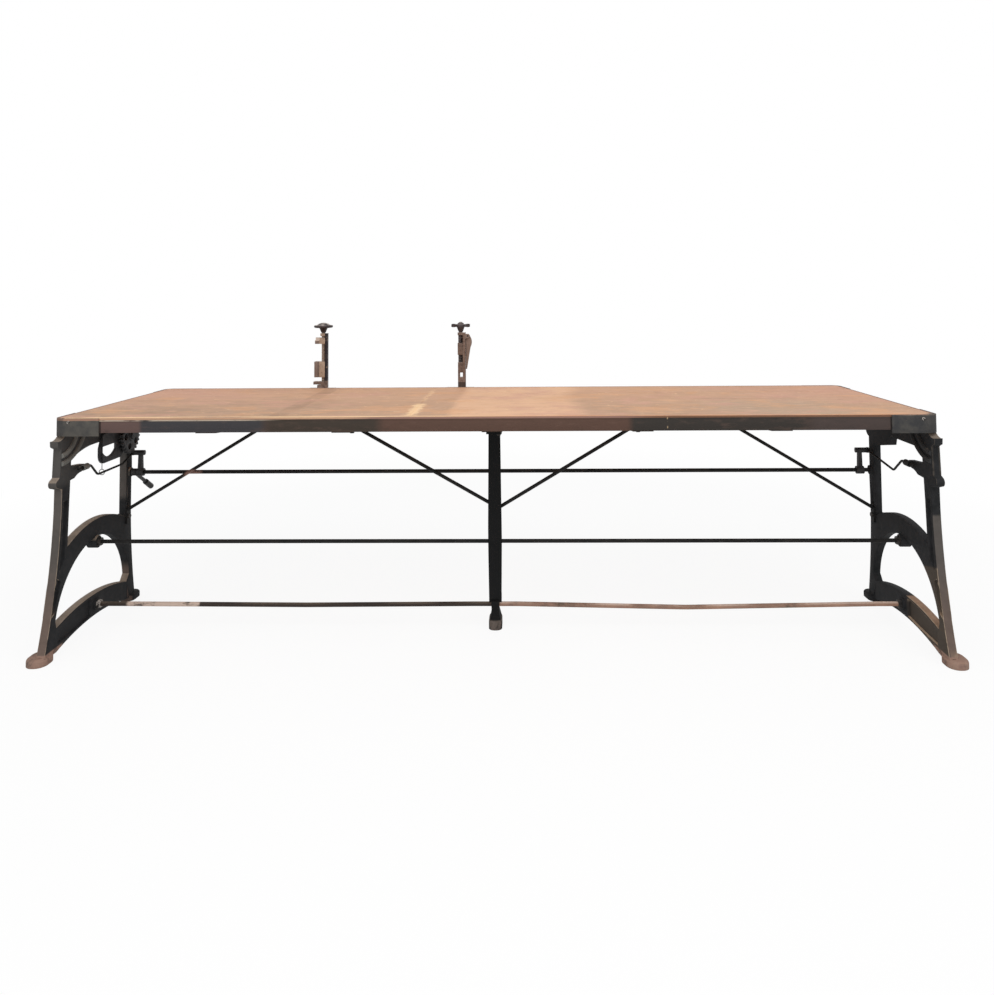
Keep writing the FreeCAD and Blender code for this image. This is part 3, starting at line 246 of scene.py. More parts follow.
def edgeFinish():
    finish = Finish("banded edge")
    x, y, z = finish.along(0), finish.along(1), finish.along(2)
    mottle = finish.noise(30.0, (0.5, 1, 1.8), detail=6, rough=0.65)
    place = x + finish.noise(4.0, (1, 1, 0.4), detail=3) * 0.04 - 0.02
    blue = finish.fade(place, edge["blueX"][0], edge["blueX"][0] + 0.02)
    blue = blue * (1 - finish.fade(place, edge["blueX"][1], edge["blueX"][1] + 0.05))
    olive = finish.fade(place, edge["blueX"][1], edge["blueX"][1] + 0.05)
    olive = olive * (1 - finish.fade(place, edge["oliveX"], edge["oliveX"] + 0.05))
    dark = finish.fade(place, edge["darkX"][0], edge["darkX"][0] + 0.03)
    dark = dark * (1 - finish.fade(place, edge["darkX"][1], edge["darkX"][1] + 0.08))
    ends = finish.mix(finish.fade(x, -0.1, 0.1), edge["rosy"], edge["plum"])
    colour = finish.mix(finish.fade(abs(x), 1.0, 1.1), edge["brown"], ends)
    colour = finish.mix(blue * 0.95, colour, edge["blue"])
    colour = finish.mix(olive * 0.9, colour, edge["olive"])
    colour = finish.mix(dark * 0.95, colour, edge["dark"])
    colour = finish.mix(finish.fade(mottle, 0.5, 0.75) * 0.25, colour, edge["worn"])
    colour = finish.mix((1 - finish.fade(mottle, 0.25, 0.45)) * 0.4, colour, edge["dark"])
    joint = finish.near(x, edge["jointX"], 0.0012, 0.001) * finish.fade(mottle, 0.4, 0.55)
    colour = finish.mix(joint * 0.6, colour, edge["pale"])
    # painted shadow: dark lines on the edge band in the gaps beside the front corner caps
    gap_shadow = finish.near(x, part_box("corner_cap_front_left")[1][0] + 0.003, 0.003, 0.001)
    gap_shadow = gap_shadow.most(finish.near(x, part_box("corner_cap_front_right")[0][0] - 0.002, 0.002, 0.001))
    colour = finish.mix(gap_shadow * 0.7, colour, edge["gap_shadow"])
    front = 1 - finish.fade(y, edge["frontY"] - 0.005, edge["frontY"])
    leftPart = 1 - finish.fade(x, -0.52, -0.38)
    rightPart = finish.fade(x, 0.40, 0.60)
    below = edge["topZ"] - z + mottle * 0.002 - 0.001  # the worn arris, seen as bands under the top
    upper = 1 - finish.fade(below, 0.0055, 0.0070)
    crown = finish.mix(leftPart, finish.mix(rightPart, edge["mauve"], edge["umber"]), edge["tan"])
    colour = finish.mix(upper * front * 0.9, colour, crown)
    thread = finish.near(below, 0.0092, 0.0013, 0.0012) * front * finish.fade(mottle, 0.25, 0.5)
    thread = thread * (1 - finish.fade(x, -0.86, -0.70))
    colour = finish.mix(thread * 0.85, colour, edge["line"])
    long = finish.fade(finish.noise(2.6, (1, 0, 0), (5, 0, 0), detail=4), 0.36, 0.52)
    pale = finish.mix(finish.fade(x, -0.5, 0.3), edge["pale"], edge["orange"])
    crest = finish.fade(finish.facing(2), 0.35, 0.8)
    colour = finish.mix(crest * 0.8, colour, edge["mauve"])
    colour = finish.mix(crest * long * front * 0.9, colour, pale)
    return finish.close(colour, 0.65, finish.bump(mottle, 0.0005, 0.5), gloss=0.12)


caps = {
    "dark": tone(56, 56, 57), "light": tone(84, 81, 76), "worn": tone(124, 108, 94), "tan": tone(158, 122, 102),
    "topZ": 0.797, "turnX": 1.462,
}


def capFinish():
    finish = Finish("painted corner iron")
    x, z = finish.along(0), finish.along(2)
    mottle = finish.noise(24.0, detail=6, rough=0.6)
    side = finish.fade(x, -0.5, 0.5)
    colour = finish.ramp(mottle - side * 0.12, [(0.28, caps["dark"]), (0.6, caps["light"])])
    rim = finish.fade(z, caps["topZ"] - 0.004, caps["topZ"] - 0.001) * finish.fade(mottle, 0.3, 0.6)
    colour = finish.mix(rim * 0.6, colour, caps["worn"])
    band = finish.fade(z + mottle * 0.003, caps["topZ"] - 0.0075, caps["topZ"] - 0.006) * (1 - side)
    colour = finish.mix(band * 0.85, colour, caps["tan"])
    turn = finish.fade(abs(x), caps["turnX"], caps["turnX"] + 0.008)  # the rounded corner beside the flat wall, darkened: painted shade where the corner turns away from the light
    colour = finish.mix(turn * 0.5, colour, caps["dark"])
    chips = finish.fade(finish.noise(60.0, detail=3), 0.66, 0.72)
    colour = finish.mix(chips * 0.4, colour, caps["worn"])
    return finish.close(colour, 0.6 + 0.2 * mottle, finish.bump(mottle, 0.0007, 0.5), gloss=0.15)


frames = {
    "black": tone(31, 32, 33), "soot": tone(50, 50, 52), "lit_weathered_face": tone(88, 83, 79), "dust_and_highlight": tone(144, 130, 117),
    "deep": tone(13, 13, 13), "rust": tone(158, 128, 106), "foot": tone(148, 120, 107), "toe": tone(104, 94, 88),
    "capital": tone(74, 72, 70), "rib_highlight": tone(108, 107, 103), "cream": tone(172, 154, 134), "olive": tone(78, 70, 62),
    "tan": tone(108, 93, 85), "lineZ": 0.467, "innerZ": 0.29, "capitalZ": 0.565, "shelfZ": 0.676, "padZ": 0.030,
    "kneeZ": 0.54, "frontY": -0.406, "legBow": 0.33, "railY": -0.187, "railZ": 0.124, "railBow": 0.58,
    "railSlope": 0.028, "rearY": 0.036, "bossY": -0.20, "ribX": 1.4700,
}


def frameFinish():
    finish = Finish("cast iron frame")
    x, y, z = finish.along(0), finish.along(1), finish.along(2)
    inward, ahead, up = finish.facing(0), 0 - finish.facing(1), finish.facing(2)
    skin = finish.noise(34.0, detail=7, rough=0.65)
    patch = finish.noise(7.0, (1, 1, 0.6), (2, 0, 0), detail=5)
    wander = patch * 0.03 - 0.015
    outer = finish.fade(abs(x), 1.2, 1.3)  # the end frames, not the centre leg
    right = finish.fade(x, -0.1, 0.1) * outer
    left = (1 - finish.fade(x, -0.1, 0.1)) * outer
    drop = frames["kneeZ"] - z
    behind = y - frames["frontY"] + drop * drop * frames["legBow"]  # how far behind the leg's front line
    leg = 1 - finish.fade(behind, 0.012, 0.020)
    run = y - frames["railY"]
    # How far above the rail's upper line
    railTop = z - frames["railZ"] + run * (run * frames["railBow"] + frames["railSlope"])
    rail = finish.fade(railTop, -0.012, -0.007) * (1 - finish.fade(z, 0.136, 0.142))
    low = 1 - finish.fade(z + wander, frames["lineZ"] - 0.006, frames["lineZ"] + 0.006)
    worn = 0.85 + 0.5 * (patch - 0.5) + 0.6 * (skin - 0.5)
    colour = finish.ramp(skin, [(0.35, frames["black"]), (0.8, frames["soot"])])
    colour = finish.mix((1 - outer) * 0.8, colour, frames["deep"])
    rear = finish.near(y, frames["rearY"], 0.010, 0.006) * finish.fade(z, 0.40, 0.43) * left
    corner = finish.fade(y, 0.0, 0.03) * (1 - finish.fade(y, 0.075, 0.08)) * (1 - finish.fade(z, 0.12, 0.17)) * left
    # Faces turned to the front take the weathered iron colour, lighter as lit faces; all other faces keep the
    # near-black base, which is partly dark paint and partly painted shade
    facing = finish.fade(ahead, 0.35, 0.75) * (leg * left).most(leg * right * low).most(rear).most(corner * 0.8)
    shade = finish.mix(1 - finish.fade(z, 0.10, 0.36), frames["lit_weathered_face"], frames["tan"])
    colour = finish.mix(facing * worn, colour, shade)
    high = finish.fade(z, frames["capitalZ"] - 0.02, frames["capitalZ"] + 0.02)
    colour = finish.mix(high * left * finish.fade(ahead, 0.1, 0.5) * 0.8, colour, frames["capital"])
    colour = finish.mix(high * left * finish.fade(abs(inward), 0.5, 0.8) * patch, colour, frames["capital"])
    # painted highlight: a light tan patch on the up-facing top of the right abacus
    abacus_highlight = finish.fade(z, frames["shelfZ"], frames["shelfZ"] + 0.008) * (1 - finish.fade(y, -0.40, -0.38))
    colour = finish.mix(abacus_highlight * right * finish.fade(up, 0.2, 0.6) * 0.7, colour, frames["dust_and_highlight"])
    slant = z + wander * 0.5 + behind * 0.25
    inside = finish.fade(abs(inward), 0.6, 0.8).most(finish.fade(ahead, 0.3, 0.6) * (1 - leg))
    under = 1 - finish.fade(slant, frames["innerZ"], frames["innerZ"] + 0.01)
    innerLow = inside * right * under
    innerLow = innerLow * (1 - finish.fade(y, frames["bossY"] - 0.03, frames["bossY"]))
    colour = finish.mix(innerLow * worn, colour, frames["olive"])
    front = 1 - finish.fade(y, frames["bossY"] - 0.02, frames["bossY"])
    crown = finish.fade(z, 0.31, 0.33).most(rail) * left
    # up-facing tops of the left crown and rails and the right front lower part: dust and rust colour together with a
    # painted highlight
    lit = finish.fade(up, 0.25, 0.6) * crown.most(right * front * (1 - finish.fade(z, 0.20, 0.24)))
    colour = finish.mix(lit * (0.65 + 0.9 * (skin - 0.3)), colour, finish.mix(right, frames["dust_and_highlight"], frames["rust"]))
    ledge = finish.fade(up, 0.3, 0.6) * right * (1 - finish.fade(z, 0.06, 0.07)) * finish.fade(z, 0.032, 0.036)
    colour = finish.mix(ledge * 0.7, colour, frames["cream"])
    # painted highlight: cream lines along the rounded edges between front or top faces and the sides, partly edge
    # wear
    turned = finish.fade(abs(inward) * (abs(ahead) + abs(up)), 0.22, 0.4)
    opening = finish.fade(behind, 0.036, 0.040) * finish.fade(z, 0.10, 0.12)  # the leg's edge at the opening
    rim = under * right * front * opening.most(rail).most(leg)
    rim = rim.most(leg * left * (1 - high) * 0.6).most(high * right * leg * finish.fade(ahead, 0.2, 0.5) * 0.12)
    colour = finish.mix(turned * rim * finish.fade(skin, 0.3, 0.55), colour, frames["cream"])
    # painted highlight: grey on the capital mouldings, strong on the left frame and faint on the right
    rib_highlight = high * (1 - finish.fade(abs(x), frames["ribX"], frames["ribX"] + 0.0014)) * outer
    rib_highlight = rib_highlight * (1 - finish.fade(y, -0.26, -0.25))
    colour = finish.mix(rib_highlight * (0.08 + 0.82 * left), colour, frames["rib_highlight"])
    pad = (1 - finish.fade(z, frames["padZ"], frames["padZ"] + 0.006)) * finish.fade(skin, 0.2, 0.55)
    colour = finish.mix(pad * (1 - finish.fade(y, -0.40, -0.38)) * outer * 0.95, colour, frames["foot"])
    # centre foot: a brown-grey toe colour only on faces turned up and forward, a painted highlight
    colour = finish.mix(pad * (1 - outer) * finish.fade(up + ahead * 0.8, 0.1, 0.6) * 0.9, colour, frames["toe"])
    return finish.close(colour, 0.66 + 0.2 * skin, finish.bump(skin, 0.0012, 0.5), gloss=0.12)


rods = {"black": tone(18, 18, 18), "grey": tone(44, 42, 41), "rub": tone(150, 118, 108), "rubX": -1.21, "rubZ": 0.511}


def rodFinish():
    finish = Finish("black rod")
    x, z = finish.along(0), finish.along(2)
    skin = finish.noise(40.0, (0.4, 1, 1), detail=5)
    colour = finish.ramp(skin, [(0.35, rods["black"]), (0.8, rods["grey"])])
    rub = finish.near(x, rods["rubX"], 0.02, 0.02) * finish.near(z, rods["rubZ"], 0.012, 0.004)
    colour = finish.mix(rub * finish.fade(skin, 0.3, 0.5) * 0.8, colour, rods["rub"])
    return finish.close(colour, 0.5 + 0.3 * skin, finish.bump(skin, 0.0003, 0.4), gloss=0.15)


rust = {
    "dark": tone(44, 39, 36), "olive": tone(84, 74, 64), "brown": tone(140, 112, 98), "orange": tone(168, 132, 112),
    "pale": tone(206, 184, 170), "paleX": -1.085, "bareX": -1.36, "middleX": 0.0,
}


def rustFinish():
    finish = Finish("rusted tie rod")
    x, up = finish.along(0), finish.facing(2)
    long = finish.noise(3.4, (1, 1, 1), (4, 0, 0), detail=5)
    fine = finish.noise(45.0, (0.5, 1, 1), detail=6, rough=0.65)
    stops = [(0.36, rust["olive"]), (0.46, rust["brown"]), (0.62, rust["orange"])]
    colour = finish.ramp(long * 0.6 + fine * 0.4, stops)
    # painted highlight: pale colour on the upper side of the rod
    painted_glint = finish.fade(up, 0.3, 0.8) * finish.fade(long, 0.42, 0.6)
    colour = finish.mix(painted_glint * 0.8, colour, rust["pale"])
    left = 1 - finish.fade(x, rust["middleX"] - 0.02, rust["middleX"] + 0.02)
    # the left half darker, with a painted highlight in olive along its upper side
    shade = finish.mix(finish.fade(up, 0.2, 0.9) * finish.fade(long, 0.4, 0.6), rust["dark"], rust["olive"])
    colour = finish.mix(left * 0.95, colour, shade)
    bare = finish.fade(x, rust["bareX"], rust["bareX"] + 0.015)
    bare = bare * (1 - finish.fade(x, rust["paleX"] - 0.004, rust["paleX"] + 0.004))
    colour = finish.mix(bare * finish.fade(fine, 0.3, 0.5) * 0.9, colour, rust["pale"])
    return finish.close(colour, 0.65 + 0.2 * fine, finish.bump(fine, 0.0004, 0.6), gloss=0.2)


gear = {"black": tone(38, 38, 40), "worn": tone(74, 73, 73)}


def gearFinish():
    finish = Finish("greasy gear iron")
    skin = finish.noise(36.0, detail=6, rough=0.62)
    colour = finish.ramp(skin, [(0.4, gear["black"]), (0.9, gear["worn"])])
    return finish.close(colour, 0.42 + 0.3 * skin, finish.bump(skin, 0.0006, 0.5), gloss=0.2)


grip = {"dark": tone(16, 15, 15), "light": tone(38, 36, 34)}


def gripFinish():
    finish = Finish("handled grip wood")
    grain = finish.noise(1.0, (200, 30, 30), detail=5)
    colour = finish.ramp(grain, [(0.3, grip["dark"]), (0.7, grip["light"])])
    return finish.close(colour, 0.5, finish.bump(grain, 0.0003, 0.5), gloss=0.2)


posts = {
    "dark": tone(58, 46, 40), "brown": tone(112, 93, 83), "taupe": tone(140, 122, 112), "tan": tone(172, 150, 130),
    "black": tone(34, 28, 30), "pale": tone(226, 208, 194), "barX": -0.7872, "blockX": -0.812,
    "leverX": -0.153, "splitX": -0.51, "footZ": 0.822, "bodyZ": 0.828, "creamZ": 1.015,
}


def postFinish():
    finish = Finish("worn post iron")
    x, z, up = finish.along(0), finish.along(2), finish.facing(2)
    skin = finish.noise(70.0, detail=6, rough=0.62)
    patch = finish.noise(22.0, (1, 1, 0.7), (1, 0, 3), detail=4)
    leftPost = 1 - finish.fade(x, posts["splitX"], posts["splitX"] + 0.01)
    stops = [(0.32, posts["dark"]), (0.50, posts["brown"]), (0.70, posts["taupe"])]
    colour = finish.ramp(skin * 0.5 + patch * 0.5, stops)
    lever = finish.fade(x, posts["leverX"], posts["leverX"] + 0.002) * finish.fade(z, 0.86, 0.88)
    colour = finish.mix(lever * 0.6, colour, posts["taupe"])
    aside = finish.fade(x, posts["blockX"] - 0.001, posts["blockX"] + 0.001)
    body = finish.fade(z, posts["bodyZ"], posts["bodyZ"] + 0.004)  # above the foot
    block = leftPost * aside * body
    colour = finish.mix(leftPost * (1 - block) * body * 0.5, colour, posts["taupe"])
    colour = finish.mix(block * finish.fade(skin, 0.2, 0.5) * 0.9, colour, posts["tan"])
    bar = finish.fade(x, posts["barX"], posts["barX"] + 0.0005) * leftPost * (1 - finish.fade(skin, 0.55, 0.8))
    bar = bar * finish.fade(z, posts["bodyZ"] - 0.002, posts["bodyZ"] + 0.002)
    colour = finish.mix(bar, colour, posts["black"])
    foot = (1 - finish.fade(z, posts["footZ"] - 0.004, posts["footZ"])) * (1 - leftPost)
    colour = finish.mix(foot * 0.9, colour, posts["dark"])
    lit = finish.fade(up, 0.5, 0.9) * finish.fade(patch, 0.35, 0.5)
    colour = finish.mix(lit * 0.7, colour, posts["pale"])
    # painted highlight: a near-white band across the top of the left post's stop
    cream = leftPost * finish.near(z, posts["creamZ"], 0.006, 0.002) * (1 - aside)
    colour = finish.mix(cream * 0.8, colour, posts["pale"])
    return finish.close(colour, 0.5 + 0.25 * skin, finish.bump(skin, 0.0006, 0.5), gloss=0.2)


spindles = {
    "dark": tone(38, 33, 34), "brown": tone(72, 62, 62), "thread": tone(158, 142, 128), "pale": tone(214, 200, 190),
    "knobZ": 1.048, "splitX": -0.51,
}


def spindleFinish():
    finish = Finish("oiled spindle steel")
    x, z, up = finish.along(0), finish.along(2), finish.facing(2)
    skin = finish.noise(60.0, detail=5, rough=0.6)
    colour = finish.ramp(skin, [(0.3, spindles["dark"]), (0.7, spindles["brown"])])
    thread = 1 - finish.fade(z, spindles["knobZ"] - 0.01, spindles["knobZ"])
    thread = thread * (1 - finish.fade(x, spindles["splitX"], spindles["splitX"] + 0.01))
    colour = finish.mix(thread * 0.9, colour, spindles["thread"])
    lit = finish.fade(up, 0.55, 0.95) * finish.fade(finish.noise(30.0, detail=3), 0.4, 0.55)
    colour = finish.mix(lit * 0.75, colour, spindles["pale"])
    return finish.close(colour, 0.35 + 0.3 * skin, finish.bump(skin, 0.0003, 0.5), 0.2, gloss=0.35)


fasteners = {
    "dark": tone(30, 28, 27), "light": tone(78, 72, 68), "painted_glint": tone(214, 206, 198),
    "nutX": -1.3, "nutZ": 0.12, "capZ": (0.776, 0.794),
}


def fastenerFinish():
    finish = Finish("dull fastener steel")
    x, z = finish.along(0), finish.along(2)
    skin = finish.noise(90.0, detail=5)
    colour = finish.ramp(skin, [(0.35, fasteners["dark"]), (0.85, fasteners["light"])])
    nuts = (1 - finish.fade(z, fasteners["nutZ"], fasteners["nutZ"] + 0.02))
    nuts = nuts * (1 - finish.fade(x, fasteners["nutX"], fasteners["nutX"] + 0.1))
    low, high = fasteners["capZ"]
    # painted highlight: pale glints on the lower left nuts and the cap screw heads
    painted_glint = nuts.most(finish.fade(z, low, low + 0.002) * (1 - finish.fade(z, high - 0.002, high)))
    colour = finish.mix(painted_glint * finish.fade(skin, 0.42, 0.6) * 0.7, colour, fasteners["painted_glint"])
    return finish.close(colour, 0.4 + 0.3 * skin, finish.bump(skin, 0.0003, 0.5), 0.2, gloss=0.3)


finishes = {
    "top_wood": boardFinish(), "batten_wood": battenFinish(), "edge_band": edgeFinish(), "cap_iron": capFinish(),
    "frame_iron": frameFinish(), "rod_iron": rodFinish(), "rusty_rod": rustFinish(), "gear_iron": gearFinish(),
    "grip_wood": gripFinish(), "post_iron": postFinish(), "spindle_steel": spindleFinish(),
    "fastener_steel": fastenerFinish(),
}
nodeSlots = {row["node"]: row["material_slot"] for row in frame["record"]["subparts"]}
for name, node in nodes.items():
    node.data.materials.clear()
    node.data.materials.append(finishes[nodeSlots[name]])
print("finishes assigned:", len(finishes))


# Pieces are made plain before they ride on their bodies

def holder(name, mesh):
    item = bpy.data.objects.new(name, mesh)
    scene.collection.objects.link(item)
    return item


def plainMesh(source, name):
    graph = bpy.context.evaluated_depsgraph_get()
    mesh = bpy.data.meshes.new_from_object(source.evaluated_get(graph))
    mesh.name = name
    bpy.data.objects.remove(source)
    return holder(name, mesh)


def settle(piece, body, slotName, *replaced):
    piece.data.materials.clear()
    piece.data.materials.append(finishes[slotName])
    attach(piece, body)
    if replaced:
        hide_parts(*replaced)
    return piece


def smooth(piece, angle=50):
    piece.data.shade_smooth()
    piece.data.set_sharp_from_angle(angle=math.radians(angle))
    return piece


class Shape(Graph):
    def __init__(self, name, **sockets):
        self.name, self.values = name, {}
        tree = bpy.data.node_groups.new(name, "GeometryNodeTree")
        for key, (kind, value) in sockets.items():
            socket = tree.interface.new_socket(key, in_out="INPUT", socket_type="NodeSocket" + kind)
            self.values[socket.identifier] = value
        tree.interface.new_socket("Geometry", in_out="OUTPUT", socket_type="NodeSocketGeometry")
        super().__init__(tree)
        self.entry = tree.nodes.new("NodeGroupInput")

    def given(self, key):
        return Wire(self, self.entry.outputs[key])

    def taken(self, key):
        return self.add("GeometryNodeObjectInfo", {}, {"Object": self.given(key)}, "Geometry")

    def tube(self, curve, sides, radius):
        values = {"Resolution": sides, "Radius": radius}
        circle = self.add("GeometryNodeCurvePrimitiveCircle", {"mode": "RADIUS"}, values)
        return self.add("GeometryNodeCurveToMesh", {}, {"Curve": curve, "Profile Curve": circle, "Fill Caps": True})

    def plain(self, geometry, slotName):
        solid = self.add("GeometryNodeRealizeInstances", {}, {0: geometry})
        painted = self.add("GeometryNodeSetMaterial", {}, {"Geometry": solid, "Material": finishes[slotName]})
        self.add("NodeGroupOutput", {}, {0: painted})
        carrier = holder("carrier", bpy.data.meshes.new("carrier"))
        modifier = carrier.modifiers.new("shape", "NODES")
        modifier.node_group = self.tree
        for identifier, value in self.values.items():
            modifier[identifier] = value
        return plainMesh(carrier, self.name)


def meshOf(shell, name):
    mesh = bpy.data.meshes.new(name)
    bmesh.ops.recalc_face_normals(shell, faces=shell.faces)
    shell.to_mesh(mesh)
    shell.free()
    return mesh


def mergedCopy(node):
    shell = bmesh.new()
    shell.from_mesh(nodes[node].data)
    bmesh.ops.remove_doubles(shell, verts=shell.verts, dist=2e-5)
    return shell


# Softened castings and timbers stand for their CAD nodes

def softened(node, width, segments=2, angle=35):
    shell = mergedCopy(node)
    if node not in openFaced:
        bmesh.ops.dissolve_limit(shell, angle_limit=math.radians(1.0), verts=shell.verts, edges=shell.edges)
    source = holder("raw", meshOf(shell, "raw"))
    bevel = source.modifiers.new("edges", "BEVEL")
    bevel.width = width
    bevel.segments = segments
    bevel.use_clamp_overlap = node not in openFaced
    bevel.limit_method = "ANGLE"
    bevel.angle_limit = math.radians(angle)
    piece = smooth(plainMesh(source, node + "_cast"))
    return settle(piece, nodes[node]["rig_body"], nodeSlots[node], node)


openFaced = ("left_frame", "right_frame", "hook_strap")  # faces with openings keep their triangles
softWidths = {
    "left_frame": 0.0015, "right_frame": 0.0015, "centre_leg": 0.0018, "corner_cap_front_left": 0.0012,
    "corner_cap_front_right": 0.0012, "corner_cap_rear_left": 0.0012, "corner_cap_rear_right": 0.0012,
    "rock_lever_left": 0.0016, "rock_lever_right": 0.0016, "hook_strap": 0.0015, "left_post_block": 0.0012,
    "left_post_stop": 0.0012, "right_post_block": 0.0012, "right_post_lever": 0.0012, "left_post_frame": 0.001,
    "right_post_frame": 0.001, "hand_lever": 0.0014, "toothed_wheel": 0.0008, "front_edge_strip": 0.0022,
    "rear_edge_strip": 0.0022, "left_edge_strip": 0.0022, "right_edge_strip": 0.0022,
}
for node, width in softWidths.items():
    softened(node, width)
print("castings softened:", len(softWidths))


# The top's boards, laid in rows on each side of the cross seam

rows = {"count": 4, "gap": 0.0004, "round": 0.0007, "segments": 2}


def boardTemplate(length, depth, thickness):
    shell = bmesh.new()
    bmesh.ops.create_cube(shell, size=1.0)
    bmesh.ops.scale(shell, vec=(length, depth, thickness), verts=shell.verts)
    bmesh.ops.bevel(shell, geom=shell.edges, offset=rows["round"], segments=rows["segments"], affect="EDGES")
    return holder("board", meshOf(shell, "board"))


def layBoards(side):
    names = ["plank_%s_%d" % (side, number + 1) for number in range(rows["count"])]
    low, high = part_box(names[0])
    step = high[1] - low[1]
    template = boardTemplate(high[0] - low[0], step - rows["gap"], high[2] - low[2])
    first = [(one + other) / 2 for one, other in zip(low, high)]
    shape = Shape("boards_" + side, Board=("Object", template), Rows=("Int", rows["count"]), First=("Vector", first),
                  Step=("Vector", (0.0, step, 0.0)))
    line = shape.add("GeometryNodeMeshLine", {}, {
        "Count": shape.given("Rows"), "Start Location": shape.given("First"), "Offset": shape.given("Step")})
    laid = shape.add("GeometryNodeInstanceOnPoints", {}, {"Points": line, "Instance": shape.taken("Board")})
    piece = smooth(shape.plain(laid, "top_wood"))
    bpy.data.objects.remove(template)
    settle(piece, "bench", "top_wood", *names)


for side in ("left", "right"):
    layBoards(side)
print("boards laid")


# Threaded spindles: the CAD turning with its screw drawn in, and a helix wound on it

threads = {"lead": 0.006, "core": 0.0074, "crest": 0.0090, "ridge": 0.0017, "steps": 28, "profile": 4, "top": 1.040}
wings = {"node": "right_post_spindle", "start": 0.018, "end": 0.036, "swell": 1.2, "middle": 1.0718}


def threadedSpindle(node, body):
    low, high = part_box(node)
    middle = Vector(((low[0] + high[0]) / 2, (low[1] + high[1]) / 2, 0))
    shell = mergedCopy(node)
    for vert in shell.verts:
        out = Vector((vert.co.x - middle.x, vert.co.y - middle.y, 0))
        if abs(out.length - threads["crest"]) < 0.0004:
            vert.co -= out * (1 - threads["core"] / out.length)
        if node == wings["node"] and abs(out.x) > wings["start"]:  # the wings swell towards their tips
            share = min((abs(out.x) - wings["start"]) / (wings["end"] - wings["start"]), 1.0)
            vert.co.z += (vert.co.z - wings["middle"]) * wings["swell"] * share
    turning = holder("turning", meshOf(shell, "turning"))
    start = low[2] + threads["ridge"]
    height = threads["top"] - start - threads["ridge"]
    shape = Shape(node + "_thread", Turning=("Object", turning), Turns=("Float", height / threads["lead"]),
                  Radius=("Float", threads["crest"] - threads["ridge"]), Height=("Float", height),
                  Start=("Vector", (middle.x, middle.y, start)), Ridge=("Float", threads["ridge"]))
    helix = shape.add("GeometryNodeCurveSpiral", {}, {
        "Resolution": threads["steps"], "Rotations": shape.given("Turns"), "Start Radius": shape.given("Radius"),
        "End Radius": shape.given("Radius"), "Height": shape.given("Height")})
    ridge = shape.tube(helix, threads["profile"], shape.given("Ridge"))
    raised = shape.add("GeometryNodeTransform", {}, {"Geometry": ridge, "Translation": shape.given("Start")})
    whole = shape.add("GeometryNodeJoinGeometry", {}, {0: [shape.taken("Turning"), raised]})
    piece = smooth(shape.plain(whole, "spindle_steel"), 40)
    bpy.data.objects.remove(turning)
    settle(piece, body, "spindle_steel", node)


threadedSpindle("left_post_spindle", "left_screw")
threadedSpindle("right_post_spindle", "right_screw")
print("spindles threaded")


# The left pull rod with its long bends

pulls = {
    "node": "pull_rod_left", "x": -1.460, "radius": 0.004, "sides": 12, "bend": 0.030, "steps": 10,
    "path": [(-0.330, 0.606), (-0.251, 0.606), (-0.202, 0.5605), (-0.022, 0.5605), (0.054, 0.5865)],
    "eye": (0.062, 0.588), "eyeRadius": 0.011, "bore": 0.00455, "halfWidth": 0.0038, "eyeSteps": 32,
}


def pullEye():
    shell = bmesh.new()
    rims = [(pulls["eyeRadius"], -1), (pulls["eyeRadius"], 1), (pulls["bore"], 1), (pulls["bore"], -1)]
    turns = [2 * math.pi * step / pulls["eyeSteps"] for step in range(pulls["eyeSteps"])]
    middleY, middleZ = pulls["eye"]
    loops = []
    for radius, side in rims:
        x = pulls["x"] + side * pulls["halfWidth"]
        spots = [(x, middleY + radius * math.cos(turn), middleZ + radius * math.sin(turn)) for turn in turns]
        loops.append([shell.verts.new(spot) for spot in spots])
    for first, second in zip(loops, loops[1:] + loops[:1]):
        for step in range(pulls["eyeSteps"]):
            after = (step + 1) % pulls["eyeSteps"]
            shell.faces.new((first[step], first[after], second[after], second[step]))
    return holder("eye", meshOf(shell, "eye"))


def bendPull():
    points = [(pulls["x"], y, z) for y, z in pulls["path"]]
    line = bpy.data.meshes.new("line")
    line.from_pydata(points, [(step, step + 1) for step in range(len(points) - 1)], [])
    route, eye = holder("route", line), pullEye()
    shape = Shape("pull_rod_left_bent", Route=("Object", route), Eye=("Object", eye),
                  Radius=("Float", pulls["radius"]), Bend=("Float", pulls["bend"]))
    curve = shape.add("GeometryNodeMeshToCurve", {}, {"Mesh": shape.taken("Route")})
    eased = shape.add("GeometryNodeFilletCurve", {"mode": "POLY"}, {
        "Curve": curve, "Count": pulls["steps"], "Radius": shape.given("Bend"), "Limit Radius": True})
    rod = shape.tube(eased, pulls["sides"], shape.given("Radius"))
    whole = shape.add("GeometryNodeJoinGeometry", {}, {0: [rod, shape.taken("Eye")]})
    slotName = nodeSlots[pulls["node"]]
    piece = smooth(shape.plain(whole, slotName))
    bpy.data.objects.remove(route)
    bpy.data.objects.remove(eye)
    settle(piece, "left_pull", slotName, pulls["node"])


bendPull()
print("pull rod bent")


# A strap behind the right spindle, outside the travel of its block

strap = {"x": (-0.188, -0.160), "z": (0.898, 1.037), "plateY": (0.4922, 0.4948), "seatY": 0.483, "tab": 0.010}


